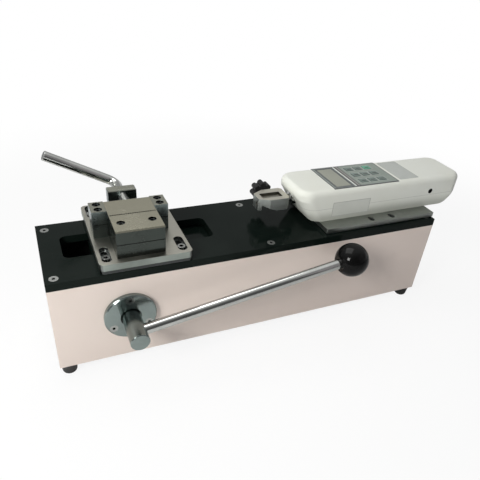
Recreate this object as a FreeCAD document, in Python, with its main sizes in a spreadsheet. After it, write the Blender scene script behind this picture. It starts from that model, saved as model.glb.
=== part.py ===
import FreeCAD, Part
import math
import os
import re

import Sketcher

# Force gauge test stand, in millimetres.
# Inside this file x runs along the box from its left end, y runs back from its front face and
# z runs up from the bench. Each finished piece is then shifted so that the origin is the bottom
# centre of the whole stand.

DIMENSIONS = {
    # box body
    "body_length": 480,
    "body_depth": 115,
    "body_height": 103,
    "deck_thickness": 9,
    "panel_thickness": 3,
    "floor_thickness": 5,
    "foot_height": 15,
    "foot_radius": 9.5,
    "foot_end_radius": 7.4,
    "foot_edge": 3.5,
    "foot_inset": 10,
    "foot_stem_radius": 3,
    "post_width": 12,
    "post_end_inset": 9,
    "post_middle": 244,
    "post_front_inset": 8.5,
    "post_back_inset": 12,
    # screws
    "flat_screw_radius": 2.5,
    "flat_head_radius": 4.6,
    "flat_head_height": 2.4,
    "flat_screw_length": 14,
    "cap_screw_radius": 2,
    "cap_head_radius": 3.5,
    "cap_head_height": 4,
    "cap_screw_length": 12,
    "vise_screw_radius": 2.5,
    "vise_head_radius": 4.1,
    "vise_head_height": 4,
    "vise_head_depth": 5.5,
    "base_screw_radius": 2.5,
    "base_head_radius": 4.25,
    "base_head_height": 3.5,
    "screw_gap": 0.05,
    "head_gap": 0.2,
    "socket_depth": 2,
    # slot of the top plate and the guide under it
    "slot_left": 22,
    "slot_right": 187,
    "slot_width": 44,
    "slot_corner": 7,
    "track_y": 62.5,
    "slide_gap": 0.05,
    "channel_width": 34,
    "channel_wall": 4,
    "channel_left": 8,
    "channel_length": 194,
    "rail_left": 10,
    "rail_length": 190,
    "rail_width": 15,
    "rail_height": 10,
    "rail_groove": 1.6,
    "rail_screw_first": 20,
    "rail_screw_pitch": 50,
    "guide_block_length": 34,
    "guide_block_width": 32,
    "guide_block_height": 13,
    "guide_block_lift": 3,
    "guide_block_spacing": 48,
    # carriage
    "carriage_x": 100,
    "slide_plate_right": 96,
    "slide_plate_front": 22,
    "slide_plate_back": 86,
    "slide_plate_thickness": 8,
    "neck_length": 64,
    "neck_gap": 1,
    "carriage_lift": 0.5,
    "carriage_plate_thickness": 3.5,
    "carriage_plate_depth": 117,
    "neck_screw_inset": 9,
    # rack and pinion
    "tooth_module": 1.5,
    "pinion_teeth": 34,
    "rack_gaps": 18,
    "rack_lead": 22,
    "gear_width": 12,
    "gear_y": 24,
    "gear_backlash": 0.4,
    "rack_screw_inset": 10,
    # lever and its bearings
    "lever_x": 78.2,
    "lever_drop": 56.2,
    "lever_angle": 8.75,
    "flange_radius": 28,
    "flange_thickness": 5.4,
    "flange_bevel": 1.4,
    "flange_screw_circle": 21.9,
    "spigot_radius": 18,
    "spigot_length": 14,
    "collar_hole_radius": 11.4,
    "collar_hole_depth": 3,
    "bearing_radius": 14,
    "bearing_width": 7,
    "shaft_radius": 7.5,
    "shaft_gap": 0.05,
    "ring_thickness": 1.2,
    "ring_radius": 10.5,
    "hub_radius": 10.1,
    "hub_length": 47,
    "hub_bevel": 0.8,
    "rod_y": 29.4,
    "rod_radius": 6,
    "rod_length": 258.5,
    "rod_tail": 6,
    "ball_radius": 20,
    "ball_flat": 17.5,
    "ball_bore": 14,
    # vise
    "base_length": 96,
    "base_depth": 127.5,
    "base_thickness": 7.5,
    "base_corner": 5,
    "base_slot_inset": 8.7,
    "base_slot_front": 19,
    "base_slot_back": 15.5,
    "base_slot_length": 28,
    "base_screw_shift": 4,
    "base_head_sink": 0.8,
    "base_slot_gap": 0.6,
    "tap_depth": 5,
    "vise_x": 95.5,
    "jaw_layer": 15.35,
    "jaw_width": 49.6,
    "jaw_front": 7.5,
    "jaw_line": 41.5,
    "jaw_back": 73,
    "jaw_gap": 0.4,
    "jaw_chamfer": 1.5,
    "jaw_parting": 0.4,
    "jaw_screw_x": 16,
    "jaw_screw_y": 25,
    "tooth_pitch": 2.3,
    "tooth_depth": 1.3,
    "guide_gap": 0.15,
    "guide_width": 15.4,
    "guide_front": 52.3,
    "guide_length": 22.5,
    "guide_screw_inset": 5.7,
    "bracket_width": 31.5,
    "bracket_front": 94.5,
    "bracket_depth": 12,
    "bracket_height": 31.5,
    "bracket_chamfer": 1.2,
    "spindle_height": 23,
    "spindle_radius": 5.5,
    "spindle_seat": 14,
    "spindle_tail": 3,
    "spindle_tail_length": 7,
    "handle_y": 134,
    "handle_radius": 5.5,
    "handle_bend": 11,
    "handle_length": 84.5,
    "handle_angle": 28,
    "handle_start": 119,
    # gauge and its mounting plate
    "plate_left": 317,
    "plate_front": 5.5,
    "plate_back": 109,
    "plate_thickness": 7,
    "plate_slot_x": 386,
    "plate_slot_pitch": 31,
    "plate_slot_front": 8.3,
    "plate_slot_back": 8,
    "plate_bevel": 1.2,
    "plate_head_sink": 0.6,
    "plate_slot_play": 3,
    "gauge_left": 287,
    "gauge_length": 248,
    "gauge_width": 67,
    "gauge_thickness": 40,
    "gauge_y": 58,
    "gauge_split": 16.5,
    "gauge_wall": 2.5,
    "gauge_nose_corner": 18,
    "gauge_tail_corner": 17,
    "gauge_edge": 7,
    "nose_chin": 18.5,
    "nose_chin_height": 30,
    "nose_chin_round": 6,
    "nose_chin_corner": 14,
    "tail_chin": 24,
    "tail_chin_height": 24,
    "tail_chin_round": 18,
    "panel_left": 46,
    "panel_length": 96,
    "panel_width": 58.6,
    "panel_sheet": 1,
    "panel_proud": 0.3,
    "window_left": 5.5,
    "window_length": 22,
    "window_width": 50,
    "window_rim": 2,
    "key_first": 49.3,
    "key_pitch_x": 14,
    "key_pitch_y": 17,
    "key_length": 9.5,
    "key_width": 8.5,
    "key_gap": 0.25,
    "key_proud": 0.9,
    "key_edge": 0.5,
    "key_flange": 1,
    "key_flange_height": 1.2,
    "key_travel_room": 1.4,
    "board_length": 112,
    "board_width": 52,
    "board_thickness": 1.6,
    "board_post_radius": 3.5,
    "board_post_inset": 5,
    "battery_length": 52,
    "battery_width": 30,
    "battery_height": 15,
    "cell_left": 22,
    "cell_length": 26,
    "cradle_inset": 3,
    "cell_width": 30,
    "cell_height": 14,
    "cell_slit": 3,
    "sensor_radius": 4.5,
    "sensor_insert": 6,
    "nose_gap": 0.4,
    "nose_ring_radius": 8,
    "nose_ring_inset": 2.5,
    "nose_ring_length": 13,
    "sensor_reach": 6.5,
    "jack_x": 196,
    "jack_height": 21.5,
    "jack_radius": 3.5,
    "jack_bore": 1.8,
    "jack_length": 11,
    # wire grip
    "grip_length": 39,
    "grip_width": 28,
    "grip_height": 15,
    "grip_nose_width": 14,
    "grip_nose_length": 13,
    "grip_tail_chamfer": 3,
    "grip_window_left": 6,
    "grip_window_length": 26,
    "grip_window_front": 7,
    "grip_window_width": 12,
    "grip_undercut_left": 4,
    "grip_undercut_right": 22,
    "grip_undercut_depth": 7,
    "wire_hole_radius": 2.2,
    "pad_thickness": 5,
    "pad_gap": 0.2,
    "pad_sink": 3.5,
    "clamp_screw_radius": 3,
    "clamp_tip_depth": 3,
    "clamp_x": 19,
    "star_gap": 7,
    "star_thickness": 11,
    "star_core_radius": 9.2,
    "star_lobe_radius": 3.4,
    "star_lobe_circle": 9.2,
    "star_lobes": 7,
    "star_screw_depth": 8,
}

doc = FreeCAD.newDocument("test_stand")
sheet = doc.addObject("Spreadsheet::Sheet", "dims")
for row, (alias, number) in enumerate(DIMENSIONS.items(), start=1):
    sheet.set("A%d" % row, alias)
    sheet.set("B%d" % row, str(number))
    sheet.setAlias("B%d" % row, alias)
doc.recompute()

# Heights and lines that several pieces share, as expressions on the sheet's cells
UNDER_DECK = "foot_height + body_height"
DECK = UNDER_DECK + " + deck_thickness"
FLOOR_TOP = "foot_height + floor_thickness"
PITCH_RADIUS = "tooth_module * pinion_teeth / 2"
LEVER_Z = DECK + " - lever_drop"
PITCH_LINE = "%s + %s" % (LEVER_Z, PITCH_RADIUS)
SLIDE_TOP = UNDER_DECK + " - 2"
SLIDE_UNDER = SLIDE_TOP + " - slide_plate_thickness"
BLOCK_UNDER = SLIDE_UNDER + " - guide_block_height"
CHANNEL_TOP = BLOCK_UNDER + " - guide_block_lift"
CARRIAGE_PLATE = DECK + " + carriage_lift"
VISE_BASE = CARRIAGE_PLATE + " + carriage_plate_thickness"
VISE_TOP = VISE_BASE + " + base_thickness"
GAUGE_UNDER = DECK + " + plate_thickness"
GAUGE_SPLIT = GAUGE_UNDER + " + gauge_split"
GAUGE_TOP = GAUGE_UNDER + " + gauge_thickness"
AXIS_Z = GAUGE_UNDER + " + gauge_thickness / 2"
PANEL_TOP = GAUGE_TOP + " + panel_proud"
BOARD_TOP = "%s - gauge_wall - key_flange_height - key_travel_room" % GAUGE_TOP
BOARD_UNDER = BOARD_TOP + " - board_thickness"
RING_LEFT = "gauge_left + nose_ring_inset"
GRIP_RIGHT = RING_LEFT + " - sensor_reach"
GRIP_LEFT = GRIP_RIGHT + " - grip_length"
GRIP_FRONT = "gauge_y - grip_width / 2"
GRIP_BACK = "gauge_y + grip_width / 2"
GRIP_UNDER = AXIS_Z + " - grip_height / 2"
CLAMP_X = GRIP_LEFT + " + clamp_x"
WINDOW_BACK = GRIP_FRONT + " + grip_window_front + grip_window_width"
STAR_FRONT = GRIP_BACK + " + star_gap"

# The origin: middle of the stand's length and depth, at bench level
ORIGIN_X = "(gauge_left + gauge_length) / 2"
ORIGIN_Y = "(handle_y + handle_radius - rod_y - ball_radius) / 2"

TURN = {
    "x": FreeCAD.Rotation(FreeCAD.Vector(0, 1, 0), 90),
    "y": FreeCAD.Rotation(FreeCAD.Vector(1, 0, 0), -90),
    "z": FreeCAD.Rotation(),
}


def size(alias):
    """The number in one cell of the sheet."""
    return float(sheet.get(alias))


def linked(text):
    """The same expression with each cell's name led by the sheet's."""
    return re.sub(r"\b[a-z]\w*", lambda m: "dims." + m[0] if m[0] in DIMENSIONS else m[0], text)


def bind(item, **rules):
    for prop, text in rules.items():
        item.setExpression(prop, linked(text))


def place(item, x="0", y="0", z="0", rotation=None):
    if rotation is not None:
        item.Placement = FreeCAD.Placement(FreeCAD.Vector(), rotation)
    for axis, text in zip("xyz", (x, y, z)):
        item.setExpression("Placement.Base." + axis, linked(text))
    return item


def block(x, y, z, length, width, height):
    item = doc.addObject("Part::Box", "block")
    bind(item, Length=length, Width=width, Height=height)
    return place(item, x, y, z)


def cylinder(axis, x, y, z, radius, length):
    item = doc.addObject("Part::Cylinder", "cylinder")
    bind(item, Radius=radius, Height=length)
    return place(item, x, y, z, TURN[axis])


def cone(axis, x, y, z, first_radius, last_radius, length):
    item = doc.addObject("Part::Cone", "cone")
    bind(item, Radius1=first_radius, Radius2=last_radius, Height=length)
    return place(item, x, y, z, TURN[axis])


def hexagon(axis, x, y, z, radius, length):
    item = doc.addObject("Part::Prism", "hexagon")
    item.Polygon = 6
    bind(item, Circumradius=radius, Height=length)
    return place(item, x, y, z, TURN[axis])


def sphere(x, y, z, radius):
    item = doc.addObject("Part::Sphere", "sphere")
    bind(item, Radius=radius)
    return place(item, x, y, z)


def join(*items):
    item = doc.addObject("Part::MultiFuse", "joined")
    item.Shapes = list(items)
    item.Refine = True
    return item


def cut(base, *tools):
    item = doc.addObject("Part::Cut", "cut")
    item.Base = base
    item.Tool = tools[0] if len(tools) == 1 else join(*tools)
    item.Refine = True
    return item


def overlap(first, second):
    item = doc.addObject("Part::Common", "overlap")
    item.Base = first
    item.Tool = second
    return item


def group(items):
    item = doc.addObject("Part::Compound", "group")
    item.Links = list(items)
    return item


def bevel(item, kind, amount, chosen):
    """Fillet or chamfer the edges of an item that the chosen() test picks."""
    doc.recompute()
    edges = [n for n, edge in enumerate(item.Shape.Edges, start=1) if chosen(edge)]
    result = doc.addObject("Part::" + kind, kind.lower())
    result.Base = item
    result.Edges = [(n, amount, amount) for n in edges]
    return result


def on_faces(item, *faces):
    """A test for edges that lie on the named sides of an item's box, such as YMin and ZMax."""
    doc.recompute()
    box = item.Shape.BoundBox
    levels = [(face[0], getattr(box, face)) for face in faces]
    return lambda edge: all(abs(getattr(edge.BoundBox, letter + side) - level) < 0.001
                            for letter, level in levels for side in ("Min", "Max"))


def rounded_block(x, y, z, length, width, height, radius):
    """A block whose four upright edges are rounded."""
    radius = "(%s)" % radius
    span_x = "(%s) - 2 * (%s)" % (length, radius)
    span_y = "(%s) - 2 * (%s)" % (width, radius)
    parts = [
        block("%s + %s" % (x, radius), y, z, span_x, width, height),
        block(x, "%s + %s" % (y, radius), z, length, span_y, height),
    ]
    for across in (radius, "%s - %s" % (length, radius)):
        for back in (radius, "%s - %s" % (width, radius)):
            parts.append(cylinder("z", "%s + %s" % (x, across), "%s + %s" % (y, back), z, radius, height))
    return join(*parts)


def slot_hole(x, y, z, length, radius, height):
    """A slot along y, given by its centre, its full length and half its width."""
    half = "((%s) / 2 - (%s))" % (length, radius)
    straight = block("%s - (%s)" % (x, radius), "%s - %s" % (y, half), z,
                     "2 * (%s)" % radius, "2 * %s" % half, height)
    front = cylinder("z", x, "%s - %s" % (y, half), z, radius, height)
    back = cylinder("z", x, "%s + %s" % (y, half), z, radius, height)
    return join(straight, front, back)


def cap_screw(x, y, top, radius, head_radius, head_height, length):
    """A socket head screw pointing down, its head's top at the given height."""
    head = cylinder("z", x, y, "%s - %s" % (top, head_height), head_radius, head_height)
    shank = cylinder("z", x, y, "%s - %s - %s" % (top, head_height, length), radius, length)
    socket = hexagon("z", x, y, "%s - socket_depth" % top, "%s * 0.55" % head_radius, "socket_depth")
    return cut(join(head, shank), socket)


def cap_screw_hole(x, y, top, radius, head_radius, depth, length):
    """The counterbored hole of a socket head screw; depth is the counterbore's."""
    wide = cylinder("z", x, y, "%s - (%s)" % (top, depth), "%s + head_gap" % head_radius, depth)
    bore = cylinder("z", x, y, "%s - (%s) - (%s)" % (top, depth, length), "%s + screw_gap" % radius,
                    "%s + %s" % (length, depth))
    return join(wide, bore)


def countersunk(axis, x, y, z, inward, gap):
    """A cone and a shank along axis from the flat of the head; inward is +1 or -1 along it."""
    wide, narrow = "(flat_head_radius + %s)" % gap, "(flat_screw_radius + %s)" % gap
    if inward > 0:
        return join(cone(axis, x, y, z, wide, narrow, "flat_head_height"),
                    cylinder(axis, x, y, z, narrow, "flat_screw_length"))
    return join(cone(axis, x, y, "%s - flat_head_height" % z, narrow, wide, "flat_head_height"),
                cylinder(axis, x, y, "%s - flat_screw_length" % z, narrow, "flat_screw_length"))


def flat_screw(axis, x, y, z, inward):
    """A countersunk screw whose head's flat lies at the given point."""
    depth = "%s - socket_depth" % z if inward < 0 else z
    socket = hexagon(axis, x, y, depth, "flat_screw_radius * 0.7", "socket_depth")
    return cut(countersunk(axis, x, y, z, inward, "0"), socket)


def flat_screw_hole(axis, x, y, z, inward):
    return countersunk(axis, x, y, z, inward, "screw_gap")


nodes = []


def finish(item, name, x="0", y="0", z="0", turn=None):
    """Name a finished piece and shift it from stand coordinates to the part's frame."""
    if item.TypeId in ("Part::Box", "Part::Cylinder"):
        # a lone primitive keeps its own place inside a group
        item = group([item])
    item.Label = name
    if turn is not None:
        item.Placement = FreeCAD.Placement(FreeCAD.Vector(), FreeCAD.Rotation(FreeCAD.Vector(0, 1, 0), 1))
        item.setExpression("Placement.Rotation.Angle", linked(turn))
    place(item, "%s - %s" % (x, ORIGIN_X), "%s - %s" % (y, ORIGIN_Y), z)
    nodes.append(item)
    return item


# Box body

POSTS_X = ("post_end_inset", "post_middle", "body_length - post_end_inset")
POSTS_Y = ("post_front_inset", "body_depth - post_back_inset")
FEET = [(x, y) for x in ("foot_inset", "body_length - foot_inset")
        for y in ("foot_inset", "body_depth - foot_inset")]
PLATE_SCREWS = [("plate_slot_x + %d * plate_slot_pitch" % n, y)
                for n in (0, 1) for y in ("plate_front + plate_slot_front", "plate_back - plate_slot_back")]
PLATE_HEAD = "%s + plate_thickness - cap_head_height - plate_head_sink" % DECK


def top_plate():
    plate = block("0", "0", UNDER_DECK, "body_length", "body_depth", "deck_thickness")
    slot = rounded_block("slot_left", "track_y - slot_width / 2", UNDER_DECK + " - 1",
                         "slot_right - slot_left", "slot_width", "deck_thickness + 2", "slot_corner")
    holes = [flat_screw_hole("z", x, y, DECK, -1) for x in POSTS_X for y in POSTS_Y]
    holes += [cylinder("z", x, y, UNDER_DECK + " - 1", "cap_screw_radius + screw_gap", "deck_thickness + 2")
              for x, y in PLATE_SCREWS]
    finish(cut(plate, slot, *holes), "top_plate")


def panels():
    front = block("0", "0", "foot_height", "body_length", "panel_thickness", "body_height")
    opening = cylinder("y", "lever_x", "-1", LEVER_Z, "spigot_radius + screw_gap", "panel_thickness + 2")
    screws = [cylinder("y", x, "-1", z, "flat_screw_radius + screw_gap", "panel_thickness + 2")
              for x, z in flange_screw_places()]
    finish(cut(front, opening, *screws), "front_panel")
    back = block("0", "body_depth - panel_thickness", "foot_height",
                 "body_length", "panel_thickness", "body_height")
    finish(back, "back_panel")
    ends = [block(x, "panel_thickness", "foot_height",
                  "panel_thickness", "body_depth - 2 * panel_thickness", "body_height")
            for x in ("0", "body_length - panel_thickness")]
    finish(group(ends), "end_panels")


def bottom_plate():
    plate = block("panel_thickness", "panel_thickness", "foot_height",
                  "body_length - 2 * panel_thickness", "body_depth - 2 * panel_thickness", "floor_thickness")
    holes = [cylinder("z", x, y, "foot_height - 1", "foot_stem_radius + screw_gap", "floor_thickness + 2")
             for x, y in FEET]
    finish(cut(plate, *holes), "bottom_plate")


def frame_posts():
    posts = []
    height = "%s - (%s)" % (UNDER_DECK, FLOOR_TOP)
    for x in POSTS_X:
        for y, start, inset in ((POSTS_Y[0], "panel_thickness", "post_front_inset"),
                                (POSTS_Y[1], "body_depth + panel_thickness - 2 * post_back_inset",
                                 "post_back_inset")):
            post = block("%s - post_width / 2" % x, start, FLOOR_TOP,
                         "post_width", "2 * (%s - panel_thickness)" % inset, height)
            hole = cylinder("z", x, y, "%s - flat_screw_length - 2" % DECK,
                            "flat_screw_radius + screw_gap", "flat_screw_length + 2")
            posts.append(cut(post, hole))
    finish(group(posts), "frame_posts")


def rubber_feet():
    feet = []
    for x, y in FEET:
        foot = cone("z", x, y, "0", "foot_end_radius", "foot_radius", "foot_height")
        foot = bevel(foot, "Fillet", size("foot_edge"), on_faces(foot, "ZMin"))
        stem = cylinder("z", x, y, "foot_height - 1", "foot_stem_radius", "floor_thickness + 1")
        feet.append(join(foot, stem))
    finish(group(feet), "rubber_feet")


def flange_screw_places():
    """Centres of the three flange screws, the first straight above the lever's axis."""
    places = []
    for degrees in (90, 210, 330):
        x = "lever_x + flange_screw_circle * cos(%d deg)" % degrees
        z = "%s + flange_screw_circle * sin(%d deg)" % (LEVER_Z, degrees)
        places.append((x, z))
    return places


def countersunk_screws():
    screws = [flat_screw("z", x, y, DECK, -1) for x in POSTS_X for y in POSTS_Y]
    screws += [flat_screw("y", x, "-flange_thickness", z, 1) for x, z in flange_screw_places()]
    finish(group(screws), "countersunk_screws")


# Lever drive

REAR_BEARING = "body_depth - panel_thickness - bearing_width - 2"


def lever_flange():
    disc = join(cone("y", "lever_x", "-flange_thickness", LEVER_Z,
                     "flange_radius - flange_bevel", "flange_radius", "flange_bevel"),
                cylinder("y", "lever_x", "flange_bevel - flange_thickness", LEVER_Z,
                         "flange_radius", "flange_thickness - flange_bevel"),
                cylinder("y", "lever_x", "-1", LEVER_Z, "spigot_radius", "spigot_length + 1"))
    seat_y = "collar_hole_depth"
    bores = [cylinder("y", "lever_x", "-flange_thickness - 1", LEVER_Z, "collar_hole_radius",
                      "flange_thickness + collar_hole_depth + 2"),
             cylinder("y", "lever_x", seat_y, LEVER_Z, "bearing_radius", "spigot_length")]
    holes = [flat_screw_hole("y", x, "-flange_thickness", z, 1) for x, z in flange_screw_places()]
    finish(cut(disc, *(bores + holes)), "lever_flange")


def rear_bearing_housing():
    start = REAR_BEARING
    ring = cylinder("y", "lever_x", start, LEVER_Z, "spigot_radius", "bearing_width + 2")
    seat = cylinder("y", "lever_x", start + " - 1", LEVER_Z, "bearing_radius", "bearing_width + 1")
    clear = cylinder("y", "lever_x", start, LEVER_Z, "shaft_radius + 1", "bearing_width + 3")
    finish(cut(ring, seat, clear), "rear_bearing_housing")


def shaft_bearings():
    rings = []
    for start in ("collar_hole_depth", REAR_BEARING):
        ring = cylinder("y", "lever_x", start, LEVER_Z, "bearing_radius", "bearing_width")
        bore = cylinder("y", "lever_x", start + " - 1", LEVER_Z,
                        "shaft_radius + shaft_gap", "bearing_width + 2")
        grooves = [cut(cylinder("y", "lever_x", side, LEVER_Z, "bearing_radius - 2", "0.6"),
                       cylinder("y", "lever_x", side, LEVER_Z, "shaft_radius + 2", "0.6"))
                   for side in (start, start + " + bearing_width - 0.6")]
        rings.append(cut(ring, bore, *grooves))
    finish(group(rings), "shaft_bearings")


def pinion_shaft():
    front = "rod_radius + 1 - rod_y"
    shaft = cylinder("y", "lever_x", front, LEVER_Z, "shaft_radius",
                     "body_depth - panel_thickness - 0.3 - (%s)" % front)
    finish(shaft, "pinion_shaft")


def retaining_rings():
    rings = []
    for start in ("gear_y - ring_thickness", "gear_y + gear_width"):
        ring = cylinder("y", "lever_x", start, LEVER_Z, "ring_radius", "ring_thickness")
        rings.append(cut(ring, cylinder("y", "lever_x", start, LEVER_Z, "shaft_radius", "ring_thickness")))
    finish(group(rings), "retaining_rings")


FIRST_GUESS = 50     # where an outline's corners start, before its rules place them


def plane_of(body, role):
    return next(f for f in body.Origin.OriginFeatures if f.Role == role)


def outline(sketch, corners):
    """A closed outline through corners given as pairs of expressions from the sketch's origin."""
    count = len(corners)
    turns = [2 * math.pi * n / count for n in range(count)]
    guess = [FreeCAD.Vector(FIRST_GUESS * math.cos(turn), FIRST_GUESS * math.sin(turn), 0) for turn in turns]
    for n in range(count):
        sketch.addGeometry(Part.LineSegment(guess[n], guess[(n + 1) % count]), False)
    for n in range(count):
        sketch.addConstraint(Sketcher.Constraint("Coincident", n, 2, (n + 1) % count, 1))
    for n, (across, along) in enumerate(corners):
        for kind, text, value in (("DistanceX", across, guess[n].x), ("DistanceY", along, guess[n].y)):
            index = sketch.addConstraint(Sketcher.Constraint(kind, -1, 1, n, 1, value))
            sketch.setExpression("Constraints[%d]" % index, linked(text))


def sketch_on(body, role):
    sketch = body.newObject("Sketcher::SketchObject", "sketch")
    sketch.AttachmentSupport = [(plane_of(body, role), "")]
    sketch.MapMode = "FlatFace"
    return sketch


def pad(body, role, corners, length, reverse=False):
    sketch = sketch_on(body, role)
    outline(sketch, corners)
    feature = body.newObject("PartDesign::Pad", "pad")
    feature.Profile = sketch
    bind(feature, Length=length)
    feature.Reversed = reverse
    doc.recompute()
    return feature


def pocket_through(body, role, corners):
    """Cut an outline right through a body, both ways from its plane."""
    before = body.Shape.Volume
    sketch = sketch_on(body, role)
    outline(sketch, corners)
    feature = body.newObject("PartDesign::Pocket", "pocket")
    feature.Profile = sketch
    feature.Type = "ThroughAll"
    feature.Midplane = True
    doc.recompute()
    if not body.Shape.Volume < before:
        raise RuntimeError("a pocket cuts nothing in " + body.Label)
    return feature


def drive_pinion():
    """Spur gear: a disc with one gap cut at its top, repeated round the axis."""
    body = doc.addObject("PartDesign::Body", "pinion")
    disc = sketch_on(body, "XZ_Plane")
    for radius in ("%s + tooth_module" % PITCH_RADIUS, "shaft_radius"):
        index = disc.addGeometry(Part.Circle(FreeCAD.Vector(), FreeCAD.Vector(0, 0, 1), 5), False)
        disc.addConstraint(Sketcher.Constraint("Coincident", index, 3, -1, 1))
        rule = disc.addConstraint(Sketcher.Constraint("Radius", index, 5 + index))
        disc.setExpression("Constraints[%d]" % rule, linked(radius))
    rim = body.newObject("PartDesign::Pad", "rim")
    rim.Profile = disc
    rim.Reversed = True
    bind(rim, Length="gear_width")
    doc.recompute()
    half = "(tooth_module * pi / 4 + gear_backlash / 4)"
    slope = "tan((20 + 90 / pinion_teeth) * 1 deg)"
    low = "(%s - 1.25 * tooth_module)" % PITCH_RADIUS
    high = "(%s + 1.2 * tooth_module)" % PITCH_RADIUS
    wide = "(%s + 1.2 * tooth_module * %s)" % (half, slope)
    narrow = "(%s - 1.25 * tooth_module * %s)" % (half, slope)
    corners = [("-" + narrow, low), (narrow, low), (wide, high), ("-" + wide, high)]
    gap = pocket_through(body, "XZ_Plane", corners)
    ring = body.newObject("PartDesign::PolarPattern", "teeth")
    ring.Originals = [gap]
    ring.Axis = (plane_of(body, "Y_Axis"), [""])
    ring.Angle = 360
    bind(ring, Occurrences="pinion_teeth")
    body.Tip = ring
    doc.recompute()
    finish(body, "drive_pinion", "lever_x", "gear_y", LEVER_Z)


def gear_rack():
    """Straight rack, teeth down, with a tooth over the pinion's top gap."""
    body = doc.addObject("PartDesign::Body", "rack")
    left = "(-rack_lead)"
    right = "(%s + tooth_module * pi * rack_gaps)" % left
    low = "(-tooth_module)"
    high = "(%s - (%s))" % (SLIDE_UNDER, PITCH_LINE)
    pad(body, "XZ_Plane", [(left, low), (right, low), (right, high), (left, high)], "gear_width", True)
    half = "(tooth_module * pi / 4 + gear_backlash / 4)"
    slope = "tan(20 deg)"
    first = "(tooth_module * pi * (0.5 - ceil(rack_lead / (tooth_module * pi) - 1)))"
    root = "(1.25 * tooth_module)"
    mouth = "(-1.2 * tooth_module)"
    wide = "(%s + 1.2 * tooth_module * %s)" % (half, slope)
    narrow = "(%s - 1.25 * tooth_module * %s)" % (half, slope)
    gap = pocket_through(body, "XZ_Plane", [
        ("%s - %s" % (first, wide), mouth), ("%s + %s" % (first, wide), mouth),
        ("%s + %s" % (first, narrow), root), ("%s - %s" % (first, narrow), root)])
    row = body.newObject("PartDesign::LinearPattern", "teeth")
    row.Originals = [gap]
    row.Direction = (plane_of(body, "X_Axis"), [""])
    bind(row, Length="tooth_module * pi * (rack_gaps - 2)", Occurrences="rack_gaps - 1")
    body.Tip = row
    doc.recompute()
    bores = [cylinder("z", x, "gear_width / 2", "%s - cap_screw_length" % high,
                      "cap_screw_radius + screw_gap", "cap_screw_length + 1")
             for x in (left + " + rack_screw_inset", right + " - rack_screw_inset")]
    finish(cut(body, *bores), "gear_rack", "lever_x", "gear_y", PITCH_LINE)


# The lever's own pieces are built along x from its axis and turned up by the lever's angle.

def lever_piece(item, name):
    finish(item, name, "lever_x", "0", LEVER_Z, turn="-lever_angle")


def lever_hub():
    front = "-hub_length"
    tip = cone("y", "0", front, "0", "hub_radius - hub_bevel", "hub_radius", "hub_bevel")
    hub = join(tip, cylinder("y", "0", front + " + hub_bevel", "0", "hub_radius",
                             "hub_length - hub_bevel + collar_hole_depth - 1"))
    socket = cylinder("y", "0", "rod_radius + 1 - rod_y", "0", "shaft_radius", "rod_y + collar_hole_depth")
    rod_hole = cylinder("x", "-rod_tail", "-rod_y", "0", "rod_radius", "rod_tail + hub_radius + 1")
    lever_piece(cut(hub, socket, rod_hole), "lever_hub")


def lever_rod():
    end = "rod_length + ball_bore - ball_flat"
    lever_piece(cylinder("x", "-rod_tail", "-rod_y", "0", "rod_radius", "%s + rod_tail" % end), "lever_rod")


def ball_knob():
    ball = sphere("rod_length", "-rod_y", "0", "ball_radius")
    flat = block("rod_length - 2 * ball_radius", "-rod_y - ball_radius", "-ball_radius",
                 "2 * ball_radius - ball_flat", "2 * ball_radius", "2 * ball_radius")
    bore = cylinder("x", "rod_length - ball_radius", "-rod_y", "0", "rod_radius",
                    "ball_radius + ball_bore - ball_flat")
    lever_piece(cut(ball, flat, bore), "ball_knob")


# Guide and carriage

def guide_channel():
    height = "%s - (%s)" % (CHANNEL_TOP, FLOOR_TOP)
    start = "track_y - channel_width / 2"
    body = block("channel_left", start, FLOOR_TOP, "channel_length", "channel_width", height)
    hollow = block("channel_left - 1", start + " + channel_wall", "%s - 1" % FLOOR_TOP, "channel_length + 2",
                   "channel_width - 2 * channel_wall", "%s + 1 - 2 * channel_wall" % height)
    passage = cylinder("y", "lever_x", start + " - 1", LEVER_Z, "shaft_radius + 1.5", "channel_width + 2")
    bores = [cylinder("z", x, "track_y", "%s - 2 * channel_wall - 1" % CHANNEL_TOP,
                      "cap_screw_radius + screw_gap", "2 * channel_wall + 2") for x in rail_screw_places()]
    finish(cut(body, hollow, passage, *bores), "guide_channel")


def rail_screw_places():
    return ["rail_left + rail_screw_first + %d * rail_screw_pitch" % n for n in range(4)]


def guide_rail():
    low = "track_y - rail_width / 2"
    body = block("rail_left", low, CHANNEL_TOP, "rail_length", "rail_width", "rail_height")
    level = "%s + rail_height * 0.45" % CHANNEL_TOP
    grooves = [cylinder("x", "rail_left - 1", y, level, "rail_groove", "rail_length + 2")
               for y in (low, "track_y + rail_width / 2")]
    holes = [cap_screw_hole(x, "track_y", "%s + rail_height" % CHANNEL_TOP, "cap_screw_radius",
                            "cap_head_radius", "cap_head_height + 0.5", "rail_height")
             for x in rail_screw_places()]
    finish(cut(body, *(grooves + holes)), "guide_rail")


def guide_blocks():
    blocks = []
    for side in (-1, 1):
        middle = "carriage_x + %d * guide_block_spacing / 2" % side
        start = "%s - guide_block_length / 2" % middle
        body = block(start, "track_y - guide_block_width / 2", BLOCK_UNDER,
                     "guide_block_length", "guide_block_width", "guide_block_height")
        channel = block("%s - 1" % start, "track_y - rail_width / 2 - slide_gap", "%s - 1" % BLOCK_UNDER,
                        "guide_block_length + 2", "rail_width + 2 * slide_gap",
                        "rail_height - guide_block_lift + 1 + slide_gap")
        blocks.append(cut(body, channel))
    finish(group(blocks), "guide_blocks")


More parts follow.
